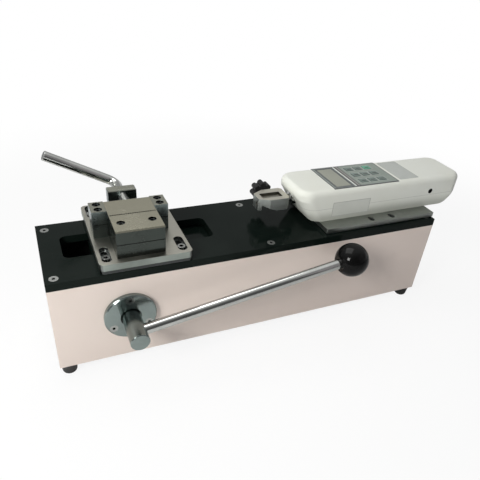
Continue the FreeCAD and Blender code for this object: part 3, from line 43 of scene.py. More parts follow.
# a node tree with short calls: one function per kind of node that the finishes use
class Finish:
    def __init__(self, name):
        self.material = bpy.data.materials.new(name)
        self.material.use_nodes = True
        self.tree = self.material.node_tree
        self.shader = self.tree.nodes["Principled BSDF"]
        self.coordinates = self.tree.nodes.new("ShaderNodeTexCoord").outputs["Object"]

    def link(self, source, target):
        if isinstance(source, bpy.types.NodeSocket):
            self.tree.links.new(source, target)
        else:
            target.default_value = source

    def plain(self, **values):     # numbers and colours that are the same all over
        for name, value in values.items():
            words = name.replace("_", " ")
            if isinstance(value, tuple):
                value = (*value, 1.0)
            self.shader.inputs[words].default_value = value

    def stretched(self, scale):    # object coordinates times a scale for each way
        node = self.tree.nodes.new("ShaderNodeMapping")
        self.link(self.coordinates, node.inputs["Vector"])
        node.inputs["Scale"].default_value = scale
        return node.outputs["Vector"]

    def noise(self, scale, detail=2.0, roughness=0.5, stretch=(1, 1, 1)):
        node = self.tree.nodes.new("ShaderNodeTexNoise")
        self.link(self.stretched(stretch), node.inputs["Vector"])
        node.inputs["Scale"].default_value = scale
        node.inputs["Detail"].default_value = detail
        node.inputs["Roughness"].default_value = roughness
        return node.outputs["Fac"]

    def cells(self, scale):
        node = self.tree.nodes.new("ShaderNodeTexVoronoi")
        self.link(self.coordinates, node.inputs["Vector"])
        node.inputs["Scale"].default_value = scale
        return node.outputs["Distance"]

    def axis(self, name):          # one of X, Y and Z of the object's own coordinates, in metres
        node = self.tree.nodes.new("ShaderNodeSeparateXYZ")
        self.link(self.coordinates, node.inputs[0])
        return node.outputs[name]

    def ramp(self, source, low, high, below=0.0, above=1.0):   # from below to above, with a soft step
        node = self.tree.nodes.new("ShaderNodeMapRange")
        node.interpolation_type = "SMOOTHSTEP"
        self.link(source, node.inputs["Value"])
        for name, value in zip(("From Min", "From Max", "To Min", "To Max"), (low, high, below, above)):
            node.inputs[name].default_value = value
        return node.outputs["Result"]

    def sum(self, kind, first, second):    # kind names the operation, such as ADD or MULTIPLY
        node = self.tree.nodes.new("ShaderNodeMath")
        node.operation = kind
        self.link(first, node.inputs[0])
        self.link(second, node.inputs[1])
        return node.outputs[0]

    def mix(self, share, first, second):
        node = self.tree.nodes.new("ShaderNodeMix")
        node.data_type = "RGBA"
        self.link(share, node.inputs["Factor"])
        for value, target in ((first, node.inputs["A"]), (second, node.inputs["B"])):
            self.link((*value, 1.0) if isinstance(value, tuple) else value, target)
        return node.outputs["Result"]

    def band(self, source, low, high, edge=0.00015):   # 1 between low and high, soft over edge
        rise = self.ramp(source, low - edge, low + edge)
        fall = self.ramp(source, high - edge, high + edge, 1.0, 0.0)
        return self.sum("MULTIPLY", rise, fall)

    def window(self, low, high, edge=0.00015):         # 1 inside a rectangle seen from above
        across = self.band(self.axis("X"), low[0], high[0], edge)
        along = self.band(self.axis("Y"), low[1], high[1], edge)
        return self.sum("MULTIPLY", across, along)

    def mottled(self, scale, detail, tones, low=0.3, high=0.7):   # two tones mixed by slow noise
        return self.mix(self.ramp(self.noise(scale, detail), low, high), *tones)

    def recess(self, node, rims, depth, soft=0.0001):  # 1 on walls and floors sunk into a node's top
        low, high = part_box(node)
        left, front, right, back = rims
        inside = self.window((low.x + left, low.y + front), (high.x - right, high.y - back), soft / 2)
        below = self.ramp(self.axis("Z"), high.z - depth - soft, high.z - depth, 1.0, 0.0)
        return self.sum("MULTIPLY", inside, below)

    def near(self, node, axis, end, width, soft=0.00005):   # 1 within a width of an end of a node's box
        low, high = (getattr(corner, axis.lower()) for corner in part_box(node))
        if end == "low":
            return self.ramp(self.axis(axis), low + width - soft, low + width + soft, 1.0, 0.0)
        return self.ramp(self.axis(axis), high - width - soft, high - width + soft)

    def bump(self, height, strength, distance):
        node = self.tree.nodes.new("ShaderNodeBump")
        node.inputs["Strength"].default_value = strength
        node.inputs["Distance"].default_value = distance
        self.link(height, node.inputs["Height"])
        if self.shader.inputs["Normal"].is_linked:
            self.link(self.shader.inputs["Normal"].links[0].from_socket, node.inputs["Normal"])
        self.link(node.outputs["Normal"], self.shader.inputs["Normal"])

    def facing(self, name):        # how far the face looks along X, Y or Z, from -1 to 1
        node = self.tree.nodes.new("ShaderNodeSeparateXYZ")
        self.link(self.tree.nodes.new("ShaderNodeTexCoord").outputs["Normal"], node.inputs[0])
        return node.outputs[name]

    def edges(self, radius):       # sharp edges catch light as if broken by a small radius
        node = self.tree.nodes.new("ShaderNodeBevel")
        node.samples = 4
        node.inputs["Radius"].default_value = radius
        self.link(node.outputs["Normal"], self.shader.inputs["Normal"])

    def colour(self, source):
        self.link(source, self.shader.inputs["Base Color"])

    def rough(self, source):
        self.link(source, self.shader.inputs["Roughness"])

    def shine(self, scale, detail, rough, low=0.2):    # roughness between two values by noise
        self.rough(self.ramp(self.noise(scale, detail), low, 0.8, *rough))


paint = {"creams": ((0.745, 0.645, 0.59), (0.715, 0.612, 0.557)), "insideShade": (0.03, 0.031, 0.03),
         "sheet": 0.0028, "peel": 520.0, "rough": (0.31, 0.44), "coat": 0.2}


def boxPaint():
    # two close creams mixed by slow noise, orange peel as a shallow fine noise; the faces that look
    # into the box, found by their distance from its outside, carry only a dark colour, painted shade
    f = Finish("boxPaint")
    tone = f.mottled(5.0, 3.0, paint["creams"])
    low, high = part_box("end_panels")[0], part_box("back_panel")[1]
    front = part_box("front_panel")[0]
    inside = f.window((low.x + paint["sheet"], front.y + paint["sheet"]),
                      (high.x - paint["sheet"], high.y - paint["sheet"]), 0.00005)
    f.colour(f.mix(inside, tone, paint["insideShade"]))
    f.shine(60.0, 4.0, paint["rough"])
    f.plain(Coat_Weight=paint["coat"], Coat_Roughness=0.25)
    f.bump(f.noise(paint["peel"], 2.0), 0.12, 0.0002)
    return f.material


deck = {"blacks": ((0.0040, 0.0072, 0.0058), (0.0085, 0.0125, 0.0105)), "dust": (0.04, 0.042, 0.038),
        "specks": 190.0, "blast": 2600.0, "rough": (0.08, 0.18), "specular": 0.07}


def blackAnodised():
    # near black with slow lighter patches, a fine blasted grain and a few specks of dust
    f = Finish("blackAnodised")
    tone = f.mottled(9.0, 4.0, deck["blacks"], 0.35, 0.75)
    dust = f.ramp(f.cells(deck["specks"]), 0.0, 0.055, 0.5, 0.0)
    f.colour(f.mix(dust, tone, deck["dust"]))
    f.shine(35.0, 5.0, deck["rough"], 0.25)
    f.plain(Specular_IOR_Level=deck["specular"])
    f.bump(f.noise(deck["blast"], 2.0), 0.05, 0.0001)
    return f.material


# metal finishes: face is what looks up, side what looks outward, left what looks to the stand's left end;
# where they differ they are lit and shaded copies of one metal, painted light and shade, and left is a
# painted reflection; the grain is stretched along one way
metals = {
    "ground": {"face": (0.44, 0.43, 0.375), "side": (0.35, 0.39, 0.36), "rough": (0.30, 0.46),
               "stretch": (0.06, 1.0, 1.0), "grain": 1100.0, "depth": 0.14},
    "vise": {"face": (0.50, 0.48, 0.37), "side": (0.065, 0.076, 0.069), "rough": (0.16, 0.30),
             "stretch": (0.06, 1.0, 1.0), "grain": 1500.0, "depth": 0.08},
    "guide": {"face": (0.40, 0.405, 0.335), "side": (0.22, 0.265, 0.26), "left": (0.30, 0.36, 0.37),
              "rough": (0.18, 0.32), "stretch": (0.06, 1.0, 1.0), "grain": 1500.0, "depth": 0.08},
    "grip": {"face": (0.64, 0.62, 0.535), "side": (0.48, 0.51, 0.485), "rough": (0.30, 0.44),
             "stretch": (0.10, 1.0, 1.0), "grain": 1300.0, "depth": 0.06},
    "turned": {"face": (0.27, 0.32, 0.31), "side": (0.27, 0.32, 0.31), "rough": (0.12, 0.24),
               "stretch": (1.0, 1.0, 1.0), "grain": 420.0, "depth": 0.03},
    "chrome": {"face": (0.58, 0.59, 0.57), "side": (0.58, 0.59, 0.57), "rough": (0.05, 0.13),
               "stretch": (1.0, 1.0, 1.0), "grain": 240.0, "depth": 0.015},
    "steel": {"face": (0.46, 0.46, 0.44), "side": (0.46, 0.46, 0.44), "rough": (0.20, 0.34),
              "stretch": (1.0, 0.08, 1.0), "grain": 1300.0, "depth": 0.08},
    "darkSteel": {"face": (0.07, 0.075, 0.075), "side": (0.07, 0.075, 0.075), "rough": (0.28, 0.45),
                  "stretch": (1.0, 1.0, 1.0), "grain": 900.0, "depth": 0.08},
    "satin": {"face": (0.33, 0.35, 0.32), "side": (0.36, 0.38, 0.355), "rough": (0.36, 0.5),
              "stretch": (0.05, 1.0, 1.0), "grain": 1700.0, "depth": 0.16},
    "screw": {"face": (0.40, 0.41, 0.39), "side": (0.33, 0.34, 0.33), "rough": (0.18, 0.30),
              "stretch": (1.0, 1.0, 1.0), "grain": 1100.0, "depth": 0.06},
}
# sunk holes: rims, depth and the black that fills them, painted shade; the same black darkens partings and
# thread grooves
holes = {"rims": (0.0003,) * 4, "depth": 0.0004, "black": (0.012, 0.012, 0.011)}
# hollows that differ: how far in from the box's left, front, right and back they begin, and their tone,
# painted shade
hollows = {"vise_base": (holes["rims"], (0.20, 0.21, 0.205)),
           "fixed_jaw_cover": ((0.003,) * 4, holes["black"]),
           "moving_jaw": ((0.003,) * 4, holes["black"]),
           "jaw_guide_covers": ((0.0016,) * 4, holes["black"]),
           "grip_frame": ((0.0059, 0.0069, 0.0069, 0.0089), (0.13, 0.13, 0.11))}
# where two parts meet their edges are dark: the axis, the end of the node's box and a width in metres
partings = {
    "fixed_jaw_block": [("Z", "high", 0.0004)],
    "fixed_jaw_cover": [("Z", "low", 0.0004), ("Y", "high", 0.0015)],
    "jaw_guide_blocks": [("Z", "high", 0.0004)], "jaw_guide_covers": [("Z", "low", 0.0004)],
    "moving_jaw": [("Y", "low", 0.0015)],
}
# screw threads along Y: the pitch, and how far from the node's front they run, in metres
threads = {"clamp_screw": (0.0010, 0.0275), "vise_spindle": (0.0020, 0.0380)}
# handling marks on all metals, and the radius that their sharp edges seem broken by
handling = {"scale": 24.0, "share": 0.4, "tone": (0.05, 0.05, 0.048), "edge": 0.0003, "parted edge": 0.00015}


def metal(name, node=None):
    # grain: noise squeezed along the way of the grinding, as tone, roughness and shallow bump;
    # handling marks: slow noise that dulls the shine; faces that look up take the face tone, painted light,
    # the others the side tone, painted shade, and faces that look to the left end the left tone, a painted
    # reflection; with a node named, whatever is sunk below its top is dark, painted shade, and its partings
    # are dark too; a node with a thread has ridges instead, painted shade in the grooves as well as a bump,
    # the distance along Y folded back at each half pitch
    values = metals[name]
    f = Finish(name + "Metal" + ("_" + node if node else ""))
    grain = f.noise(values["grain"], 3.0, 0.6, values["stretch"])
    marks = f.ramp(f.noise(handling["scale"], 5.0, 0.6), 0.35, 0.75)
    wear = f.sum("MULTIPLY", f.sum("ADD", grain, marks), 0.5)
    tone = values["side"]
    # lit and shaded copies of one metal, chosen by the way a face looks: painted light and shade
    if "left" in values:
        tone = f.mix(f.ramp(f.facing("X"), -0.85, -0.45, 1.0, 0.0), tone, values["left"])
    level = f.ramp(f.facing("Z"), 0.45, 0.85)
    tone = f.mix(level, tone, values["face"])
    tone = f.mix(f.sum("MULTIPLY", wear, handling["share"]), tone, handling["tone"])
    for axis, end, width in partings.get(node, []):
        share = f.near(node, axis, end, width)
        if axis == "Y":
            share = f.sum("MULTIPLY", share, f.sum("SUBTRACT", 1.0, level))
        tone = f.mix(share, tone, holes["black"])
    ridges = None
    if node in threads:
        pitch, reach = threads[node]
        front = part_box(node)[0].y
        ridges = f.ramp(f.sum("PINGPONG", f.axis("Y"), pitch / 2), 0.0, pitch / 2)
        ridges = f.sum("MULTIPLY", ridges, f.band(f.axis("Y"), front - 0.001, front + reach))
        # the thread's grooves are darkened: painted shade
        tone = f.mix(f.sum("MULTIPLY", ridges, 0.8), tone, holes["black"])
    elif node:
        rims, shade = hollows.get(node, (holes["rims"], holes["black"]))
        # what is sunk below the top is darkened: painted shade
        tone = f.mix(f.recess(node, rims, holes["depth"]), tone, shade)
    f.colour(tone)
    f.rough(f.ramp(wear, 0.2, 0.8, *values["rough"]))
    f.plain(Metallic=1.0)
    f.edges(handling["parted edge" if node in partings else "edge"])
    f.bump(grain, values["depth"], 0.0001)
    if ridges:
        f.bump(ridges, 0.8, 0.0004)
    return f.material


def countersunkMetal():
    # bright screws whose sockets, which lie behind the flats of the heads, are black, painted shade
    f = Finish("countersunkMetal")
    low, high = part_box("countersunk_screws")
    flat, soft = holes["depth"], 0.0001
    sunk = f.ramp(f.axis("Z"), high.z - flat - soft, high.z - flat, 1.0, 0.0)
    behind = f.ramp(f.axis("Y"), low.y + flat, low.y + flat + soft, 0.0, 1.0)
    values = metals["screw"]
    grain = f.noise(values["grain"], 3.0)
    tone = f.mix(f.ramp(grain, 0.3, 0.8), values["face"], values["side"])
    f.colour(f.mix(f.sum("MULTIPLY", sunk, behind), tone, holes["black"]))
    f.shine(60.0, 4.0, values["rough"])
    f.plain(Metallic=1.0)
    f.bump(grain, values["depth"], 0.0001)
    return f.material


case = {"whites": ((0.80, 0.81, 0.755), (0.765, 0.77, 0.70)), "underside": (0.52, 0.53, 0.475),
        "seam": (0.28, 0.28, 0.26), "seam share": 0.55, "grain": 1500.0, "pits": 900.0,
        "rough": (0.42, 0.54), "specular": 0.35}


def gaugeCase():
    # two whites by slow noise, darker towards the underside as painted shade, spark texture from cells and
    # noise together, grime by the parting line
    f = Finish("gaugeCase")
    tone = f.mottled(14.0, 3.0, case["whites"], 0.3, 0.8)
    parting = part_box("gauge_upper_shell")[0].z
    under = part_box("gauge_lower_shell")[0].z
    # painted shade: the tone darkens towards the underside
    tone = f.mix(f.ramp(f.axis("Z"), under + 0.002, parting - 0.001, 1.0, 0.0), tone, case["underside"])
    seam = f.band(f.axis("Z"), parting - 0.0002, parting + 0.0002, 0.00012)
    f.colour(f.mix(f.sum("MULTIPLY", seam, case["seam share"]), tone, case["seam"]))
    f.shine(90.0, 4.0, case["rough"])
    f.plain(Specular_IOR_Level=case["specular"])
    grain = f.sum("ADD", f.noise(case["grain"], 3.0), f.cells(case["pits"]))
    f.bump(grain, 0.10, 0.00012)
    return f.material


# printed film on the gauge: the lines are given in metres from the panel's left end; around each key
# lie a rim and a shade that reach so far from its middle in x, and in y shorter by "shorter"
film = {
    "grey": (0.262, 0.305, 0.268), "border": (0.085, 0.092, 0.095), "dark": (0.125, 0.122, 0.112),
    "line": (0.88, 0.90, 0.86), "border width": 0.0013, "display rim": 0.0024,
    "white line": (0.0311, 0.0325), "second line": (0.0362, 0.0369), "dark band": (0.0325, 0.0392),
    "key rim": (0.50, 0.54, 0.51), "key shade": (0.075, 0.088, 0.085), "shorter": 0.0007,
    "rim reach": 0.0066, "shade reach": 0.0060, "rough": (0.28, 0.4), "mesh": 2600.0,
}


def keypadFilm(keys):
    # rectangles in x and y choose between the printed colours; a fine mesh grain lies over all
    f = Finish("keypadFilm")
    across = f.axis("X")
    low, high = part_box("keypad_panel")
    tone = f.mottled(40.0, 3.0, (film["grey"], tuple(0.9 * part for part in film["grey"])))
    least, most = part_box("display_window")
    rim = film["display rim"]
    outer = f.window((least.x - rim, least.y - rim), (most.x + rim, most.y + rim))
    tone = f.mix(outer, tone, film["border"])
    for name, colour, share in (("dark band", "dark", 1.0), ("white line", "line", 1.0),
                                ("second line", "line", 0.5)):
        start, end = (low.x + length for length in film[name])
        tone = f.mix(f.sum("MULTIPLY", f.band(across, start, end), share), tone, film[colour])
    edge = film["border width"]
    inner = f.window((low.x + edge, low.y + edge), (high.x - edge, high.y - edge))
    tone = f.mix(inner, film["border"], tone)
    for key in keys:
        least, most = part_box(key)
        x, y = (least.x + most.x) / 2, (least.y + most.y) / 2
        for around in ("rim", "shade"):
            reach = film[around + " reach"]
            halfWidth = reach - film["shorter"]
            shown = f.window((x - reach, y - halfWidth), (x + reach, y + halfWidth), 0.0002)
            tone = f.mix(shown, tone, film["key " + around])
    f.colour(tone)
    f.shine(220.0, 3.0, film["rough"])
    f.bump(f.noise(film["mesh"], 2.0), 0.08, 0.0001)
    return f.material


keyPrint = {"bar": (0.0034, 0.0012), "lower": -0.0010, "rim": 0.0009, "margin": 0.0002,
            "inkAndShade": (0.018, 0.024, 0.022), "rough": (0.32, 0.46),
            "grey": ((0.175, 0.225, 0.20), (0.145, 0.19, 0.17)),
            "green": ((0.15, 0.44, 0.30), (0.12, 0.38, 0.255))}


def keyCap(name, tones, keys):
    # a domed printed key: two tones by fine speckle, satin; a plain dark bar marks each key; its left
    # and front rims carry painted shade, by the box with a margin less the box without those rims
    f = Finish(name)
    margin = keyPrint["margin"]
    tone = f.mottled(700.0, 4.0, tones, 0.35, 0.65)
    for key in keys:
        low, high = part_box(key)
        rim = keyPrint["rim"]
        inner = f.window((low.x + rim, low.y + rim), (high.x, high.y), 0.0001)
        outer = f.window((low.x - margin, low.y - margin), (high.x + margin, high.y + margin), 0.0001)
        tone = f.mix(f.sum("MULTIPLY", f.sum("SUBTRACT", outer, inner), 0.8), tone, keyPrint["inkAndShade"])
        x, y = (low.x + high.x) / 2, (low.y + high.y) / 2 + keyPrint["lower"]
        halfLength, halfHeight = keyPrint["bar"]
        bar = f.window((x - halfLength, y - halfHeight), (x + halfLength, y + halfHeight), 0.0002)
        tone = f.mix(f.sum("MULTIPLY", bar, 0.85), tone, keyPrint["inkAndShade"])
    f.colour(tone)
    f.shine(260.0, 3.0, keyPrint["rough"])
    f.bump(f.noise(2200.0, 2.0), 0.08, 0.0001)
    return f.material


display = {"rim width": 0.0007, "rim": (0.15, 0.16, 0.145), "rough": (0.10, 0.18),
           "tones": ((0.32, 0.33, 0.265), (0.285, 0.295, 0.24))}


def displayCover():
    # grey-green liquid crystal under a clear cover: darker rim, slow clouding, glossy coat
    f = Finish("displayCover")
    low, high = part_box("display_window")
    rim = display["rim width"]
    lit = f.window((low.x + rim, low.y + rim), (high.x - rim, high.y - rim), 0.0003)
    f.colour(f.mix(lit, display["rim"], f.mottled(22.0, 3.0, display["tones"])))
    f.shine(120.0, 3.0, display["rough"])
    f.plain(Coat_Weight=0.5, Coat_Roughness=0.06)
    f.bump(f.noise(300.0, 2.0), 0.02, 0.0001)
    return f.material


plastics = {"polishedBlack": {"tones": ((0.003,) * 3, (0.006,) * 3), "rough": (0.07, 0.14)},
            "mouldedBlack": {"tones": ((0.018,) * 3, (0.03,) * 3), "rough": (0.22, 0.34)}}


def blackPlastic(name):
    # two blacks by slow noise, shine that varies between two roughnesses, faint flow marks
    f = Finish(name)
    f.colour(f.mottled(45.0, 4.0, plastics[name]["tones"], 0.35, 0.75))
    f.shine(80.0, 4.0, plastics[name]["rough"], 0.25)
    f.plain(Specular_IOR_Level=0.14)
    f.bump(f.noise(260.0, 2.0), 0.03, 0.0002)
    return f.material


rubber = {"tones": ((0.014, 0.014, 0.014), (0.035, 0.034, 0.032)), "rough": (0.45, 0.65), "grain": 900.0}


def feetRubber():
    # moulded rubber: matt, dusty in patches by slow noise, fine grain as bump
    f = Finish("feetRubber")
    f.colour(f.mottled(60.0, 5.0, rubber["tones"], 0.35, 0.75))
    f.shine(150.0, 4.0, rubber["rough"])
    f.bump(f.noise(rubber["grain"], 3.0), 0.2, 0.0002)
    return f.material


board = {"green": (0.02, 0.16, 0.06), "track": (0.05, 0.26, 0.10), "scale": 130.0, "rough": 0.35}


def circuitBoard():
    # tracks: where a smooth noise lies between two close values, paler and a little raised
    f = Finish("circuitBoard")
    tracks = f.band(f.noise(board["scale"], 1.0), 0.47, 0.52, 0.01)
    f.colour(f.mix(tracks, board["green"], board["track"]))
    f.rough(board["rough"])
    f.bump(tracks, 0.2, 0.0001)
    return f.material


battery = {"blues": ((0.03, 0.07, 0.25), (0.05, 0.10, 0.32)), "rough": (0.25, 0.4), "creases": 160.0}


def batteryWrap():
    # shrunk film: two blues by slow noise, creases as a wide bump
    f = Finish("batteryWrap")
    f.colour(f.mottled(30.0, 3.0, battery["blues"]))
    f.shine(90.0, 3.0, battery["rough"])
    f.bump(f.noise(battery["creases"], 3.0), 0.2, 0.0004)
    return f.material


keys = ["key_row%d_column%d" % (row, column) for row in (1, 2, 3) for column in (1, 2, 3)]
greenKey = "key_row1_column3"
finishes = {
    "turned": metal("turned"), "chrome": metal("chrome"), "steel": metal("steel"),
    "darkSteel": metal("darkSteel"), "satin": metal("satin"), "guide": metal("guide"),
    "grip": metal("grip"), "countersunk": countersunkMetal(),
    "paint": boxPaint(), "deck": blackAnodised(), "case": gaugeCase(), "film": keypadFilm(keys),
    "display": displayCover(), "plastic": blackPlastic("polishedBlack"),
    "moulded": blackPlastic("mouldedBlack"), "rubber": feetRubber(),
    "board": circuitBoard(), "battery": batteryWrap(),
    "key": keyCap("keyCap", keyPrint["grey"], [key for key in keys if key != greenKey]),
    "greenKey": keyCap("greenKeyCap", keyPrint["green"], [greenKey]),
}
# nodes with a metal of their own, for their holes, partings or thread
ownMetals = {"vise_base": "ground", "fixed_jaw_block": "vise", "fixed_jaw_cover": "vise",
             "jaw_guide_blocks": "guide", "jaw_guide_covers": "guide", "moving_jaw": "vise",
             "grip_frame": "grip", "vise_base_screws": "screw", "clamp_screw": "screw",
             "vise_spindle": "chrome"}
wearing = {
    "top_plate": "deck", "front_panel": "paint", "back_panel": "paint", "end_panels": "paint",
    "bottom_plate": "satin", "frame_posts": "darkSteel", "countersunk_screws": "countersunk",
    "rubber_feet": "rubber", "lever_flange": "turned", "shaft_bearings": "steel",
    "rear_bearing_housing": "turned", "guide_channel": "darkSteel", "guide_rail": "steel",
    "cap_screws": "darkSteel", "gauge_mount_plate": "satin", "gauge_lower_shell": "case",
    "gauge_upper_shell": "case", "keypad_panel": "film", "display_window": "display",
    "circuit_board": "board", "battery_pack": "battery", "load_cell": "satin", "sensor_shaft": "steel",
    "nose_ring": "chrome", "jack_socket": "plastic", "guide_blocks": "steel", "slide_plate": "deck",
    "gear_rack": "darkSteel", "carriage_plate": "darkSteel", "carriage_screws": "darkSteel",
    "vise_screws": "darkSteel", "screw_bracket": "guide", "vise_handle": "chrome",
    "pinion_shaft": "steel", "drive_pinion": "darkSteel", "retaining_rings": "darkSteel",
    "lever_hub": "turned", "lever_rod": "chrome", "ball_knob": "plastic", "grip_pad": "grip",
    "star_knob": "moulded",
}
for key in keys:
    wearing[key] = "greenKey" if key == greenKey else "key"
for node, name in ownMetals.items():
    finishes[node] = metal(name, node)
    wearing[node] = node
for node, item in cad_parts.items():
    item.data.materials.clear()
    item.data.materials.append(finishes[wearing[node]])
print("finishes given to", len(wearing), "nodes")


# thin plain films stuck on the gauge, in metres: the top one starts so far behind the keypad, the side
# one so far from the end of the nose and with its middle so far above the underside
stickers = {
    "thickness": 0.00016, "sunk": 0.00003, "corner": 0.0012, "bevel": 0.00005, "steps": 8,
    "top film": {"start": 0.0045, "size": (0.030, 0.052)},
    "side film": {"start": 0.045, "above": 0.0143, "size": (0.055, 0.0195)},
    "grey": (0.50, 0.52, 0.49), "pale": (0.66, 0.67, 0.62), "outline": (0.22, 0.225, 0.215), "line": 0.0004,
    "rough": (0.30, 0.42), "rubbed": 0.93,
}


def stickerSheet(name, middle, across, along, size):
    # outline: a rectangle's four round corners, each the corner's centre plus r (cos t, sin t); a ring is
    # the outline drawn in by an inset and lifted along the sheet's normal; both sides end in a middle point
    normal = across.cross(along)
    thickness, bevel, corner = stickers["thickness"], stickers["bevel"], stickers["corner"]
    turn = np.linspace(0, np.pi / 2, stickers["steps"])
    angles = turn[None, :] + np.arange(4)[:, None] * np.pi / 2
    corners = np.array([(1, 1), (-1, 1), (-1, -1), (1, -1)]) * (np.array(size) / 2 - corner)
    rings = []
    for inset, height in ((0, 0), (0, thickness - bevel), (bevel, thickness)):
        arcs = (corner - inset) * np.stack([np.cos(angles), np.sin(angles)], axis=2)
        flat = (corners[:, None, :] + arcs).reshape(-1, 2)
        lift = height * np.array(normal)
        rings.append(flat[:, :1] * np.array(across) + flat[:, 1:] * np.array(along) + lift)
    ends = [np.zeros((1, 3)), thickness * np.array([normal])]
    points = np.concatenate(rings + ends) + np.array(middle) - stickers["sunk"] * np.array(normal)
    count = len(rings[0])
    here = np.arange(count)
    following = (here + 1) % count
    faces = []
    for low in range(0, (len(rings) - 1) * count, count):
        high = low + count
        faces += np.stack([here + low, following + low, following + high, here + high], axis=1).tolist()
    underside, top = len(rings) * count, (len(rings) - 1) * count
    faces += np.stack([following, here, np.full(count, underside)], axis=1).tolist()
    faces += np.stack([here + top, following + top, np.full(count, underside + 1)], axis=1).tolist()
    mesh = bpy.data.meshes.new(name)
    mesh.from_pydata(points.tolist(), [], faces)
    sheet = bpy.data.objects.new(name, mesh)
    scene.collection.objects.link(sheet)
    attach(sheet, "box")
    return sheet


def stickerFilm(name, middle, axes, size, tone):
    # satin grey with faint rubbing and a fine printed outline: what lies inside the border's outer
    # rectangle less what lies inside its inner one
    f = Finish(name)
    rectangles = []
    for grown in (0, stickers["line"]):
        share = None
        for axis, centre, length in zip(axes, middle, size):
            span = length / 2 - stickers["line"] * 2 + grown
            side = f.band(f.axis(axis), centre - span, centre + span, 0.00008)
            share = side if share is None else f.sum("MULTIPLY", share, side)
        rectangles.append(share)
    rubbed = tuple(stickers["rubbed"] * part for part in tone)
    base = f.mottled(45.0, 4.0, (tone, rubbed), 0.3, 0.75)
    line = f.sum("SUBTRACT", rectangles[1], rectangles[0])
    f.colour(f.mix(f.sum("MULTIPLY", line, 0.7), base, stickers["outline"]))
    f.shine(160.0, 3.0, stickers["rough"])
    f.bump(f.noise(1900.0, 2.0), 0.05, 0.0001)
    return f.material


def addStickers():
    # one behind the keypad on the flat top, one on the flat front side of the case
    panel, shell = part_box("keypad_panel"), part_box("gauge_upper_shell")
    values = stickers["top film"]
    place = (panel[1].x + values["start"] + values["size"][0] / 2, (panel[0].y + panel[1].y) / 2, shell[1].z)
    sheet = stickerSheet("top_film", place, Vector((1, 0, 0)), Vector((0, 1, 0)), values["size"])
    sheet.data.materials.append(stickerFilm("topFilm", place[:2], "XY", values["size"], stickers["grey"]))
    values = stickers["side film"]
    place = (shell[0].x + values["start"] + values["size"][0] / 2, shell[0].y,
             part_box("gauge_lower_shell")[0].z + values["above"])
    sheet = stickerSheet("side_film", place, Vector((1, 0, 0)), Vector((0, 0, 1)), values["size"])
    sheet.data.materials.append(stickerFilm("sideFilm", place[::2], "XZ", values["size"], stickers["pale"]))


addStickers()
print("films are on the gauge")


# the camera stands where the picture's lines meet: place, right and up in the stand's axes
view = {
    "place": (-0.261456, -0.453938, 0.422123),
    "right": (0.91196889, -0.40179923, 0.0828862),
    "up": (0.165914, 0.545982, 0.821204),
    "focal": 490.952, "centre": (249.447, 264.323), "size": 480.0,
}


def addCamera():
    # columns of the turn are right, up and backwards; the shift moves the picture's centre
    lens = bpy.data.cameras.new("camera")
    lens.sensor_width = 36.0
    lens.lens = view["focal"] / view["size"] * lens.sensor_width
    lens.shift_x = (view["size"] / 2 - view["centre"][0]) / view["size"]
    lens.shift_y = (view["centre"][1] - view["size"] / 2) / view["size"]
    lens.clip_start = 0.02
    lens.clip_end = 20.0
    camera = bpy.data.objects.new("camera", lens)
    right = Vector(view["right"]).normalized()
    up = Vector(view["up"])
    up = (up - up.dot(right) * right).normalized()
    back = right.cross(up)
    turn = Matrix((right, up, back)).transposed().to_4x4()
    camera.matrix_world = Matrix.Translation(view["place"]) @ turn
    scene.collection.objects.link(camera)
    scene.camera = camera


# a square of so many metres; its share of white grows from "held back" to 1 between near and far
floor = {"reach": 8.0, "white": 0.80, "near": 0.42, "far": 0.85, "held back": 0.88}


def addFloor():
    # a flat square under the feet: near the object it is lit paper, mixed with plain white for
    # the camera; the share of white grows with the distance from the middle until only it is left
    half = floor["reach"] / 2
    mesh = bpy.data.meshes.new("floor")
    corners = [(-half, -half, 0), (half, -half, 0), (half, half, 0), (-half, half, 0)]
    mesh.from_pydata(corners, [], [(0, 1, 2, 3)])
    item = bpy.data.objects.new("floor", mesh)
    scene.collection.objects.link(item)
    f = Finish("floorPaper")
    f.plain(Base_Color=(floor["white"],) * 3, Roughness=0.9, Specular_IOR_Level=0.1)
    length = f.tree.nodes.new("ShaderNodeVectorMath")
    length.operation = "LENGTH"
    f.link(f.coordinates, length.inputs[0])
    share = f.ramp(length.outputs["Value"], floor["near"], floor["far"], floor["held back"], 1.0)
    path = f.tree.nodes.new("ShaderNodeLightPath")
    seen = f.sum("MAXIMUM", path.outputs["Is Camera Ray"], path.outputs["Is Transmission Ray"])
    glow = f.tree.nodes.new("ShaderNodeEmission")
    both = f.tree.nodes.new("ShaderNodeMixShader")
    f.link(f.sum("MULTIPLY", seen, share), both.inputs[0])
    f.link(f.shader.outputs[0], both.inputs[1])
    f.link(glow.outputs[0], both.inputs[2])
    f.link(both.outputs[0], f.tree.nodes["Material Output"].inputs["Surface"])
    mesh.materials.append(f.material)


# square lamps: place, aim and size in metres, power in watts
lamps = {
    "key": {"place": (-0.74, -0.46, 0.60), "aim": (-0.05, 0.0, 0.10),
            "size": 0.30, "power": 6.9, "tint": (1.0, 1.0, 0.97)},
    "fill": {"place": (1.1, -1.3, 0.9), "aim": (0.0, 0.0, 0.08),
             "size": 1.2, "power": 1.1, "tint": (1.0, 0.91, 0.96)},
    "top": {"place": (-0.25, 0.35, 1.2), "aim": (0.0, 0.0, 0.12),
            "size": 0.9, "power": 6.6, "tint": (1.0, 1.0, 0.98)},
}


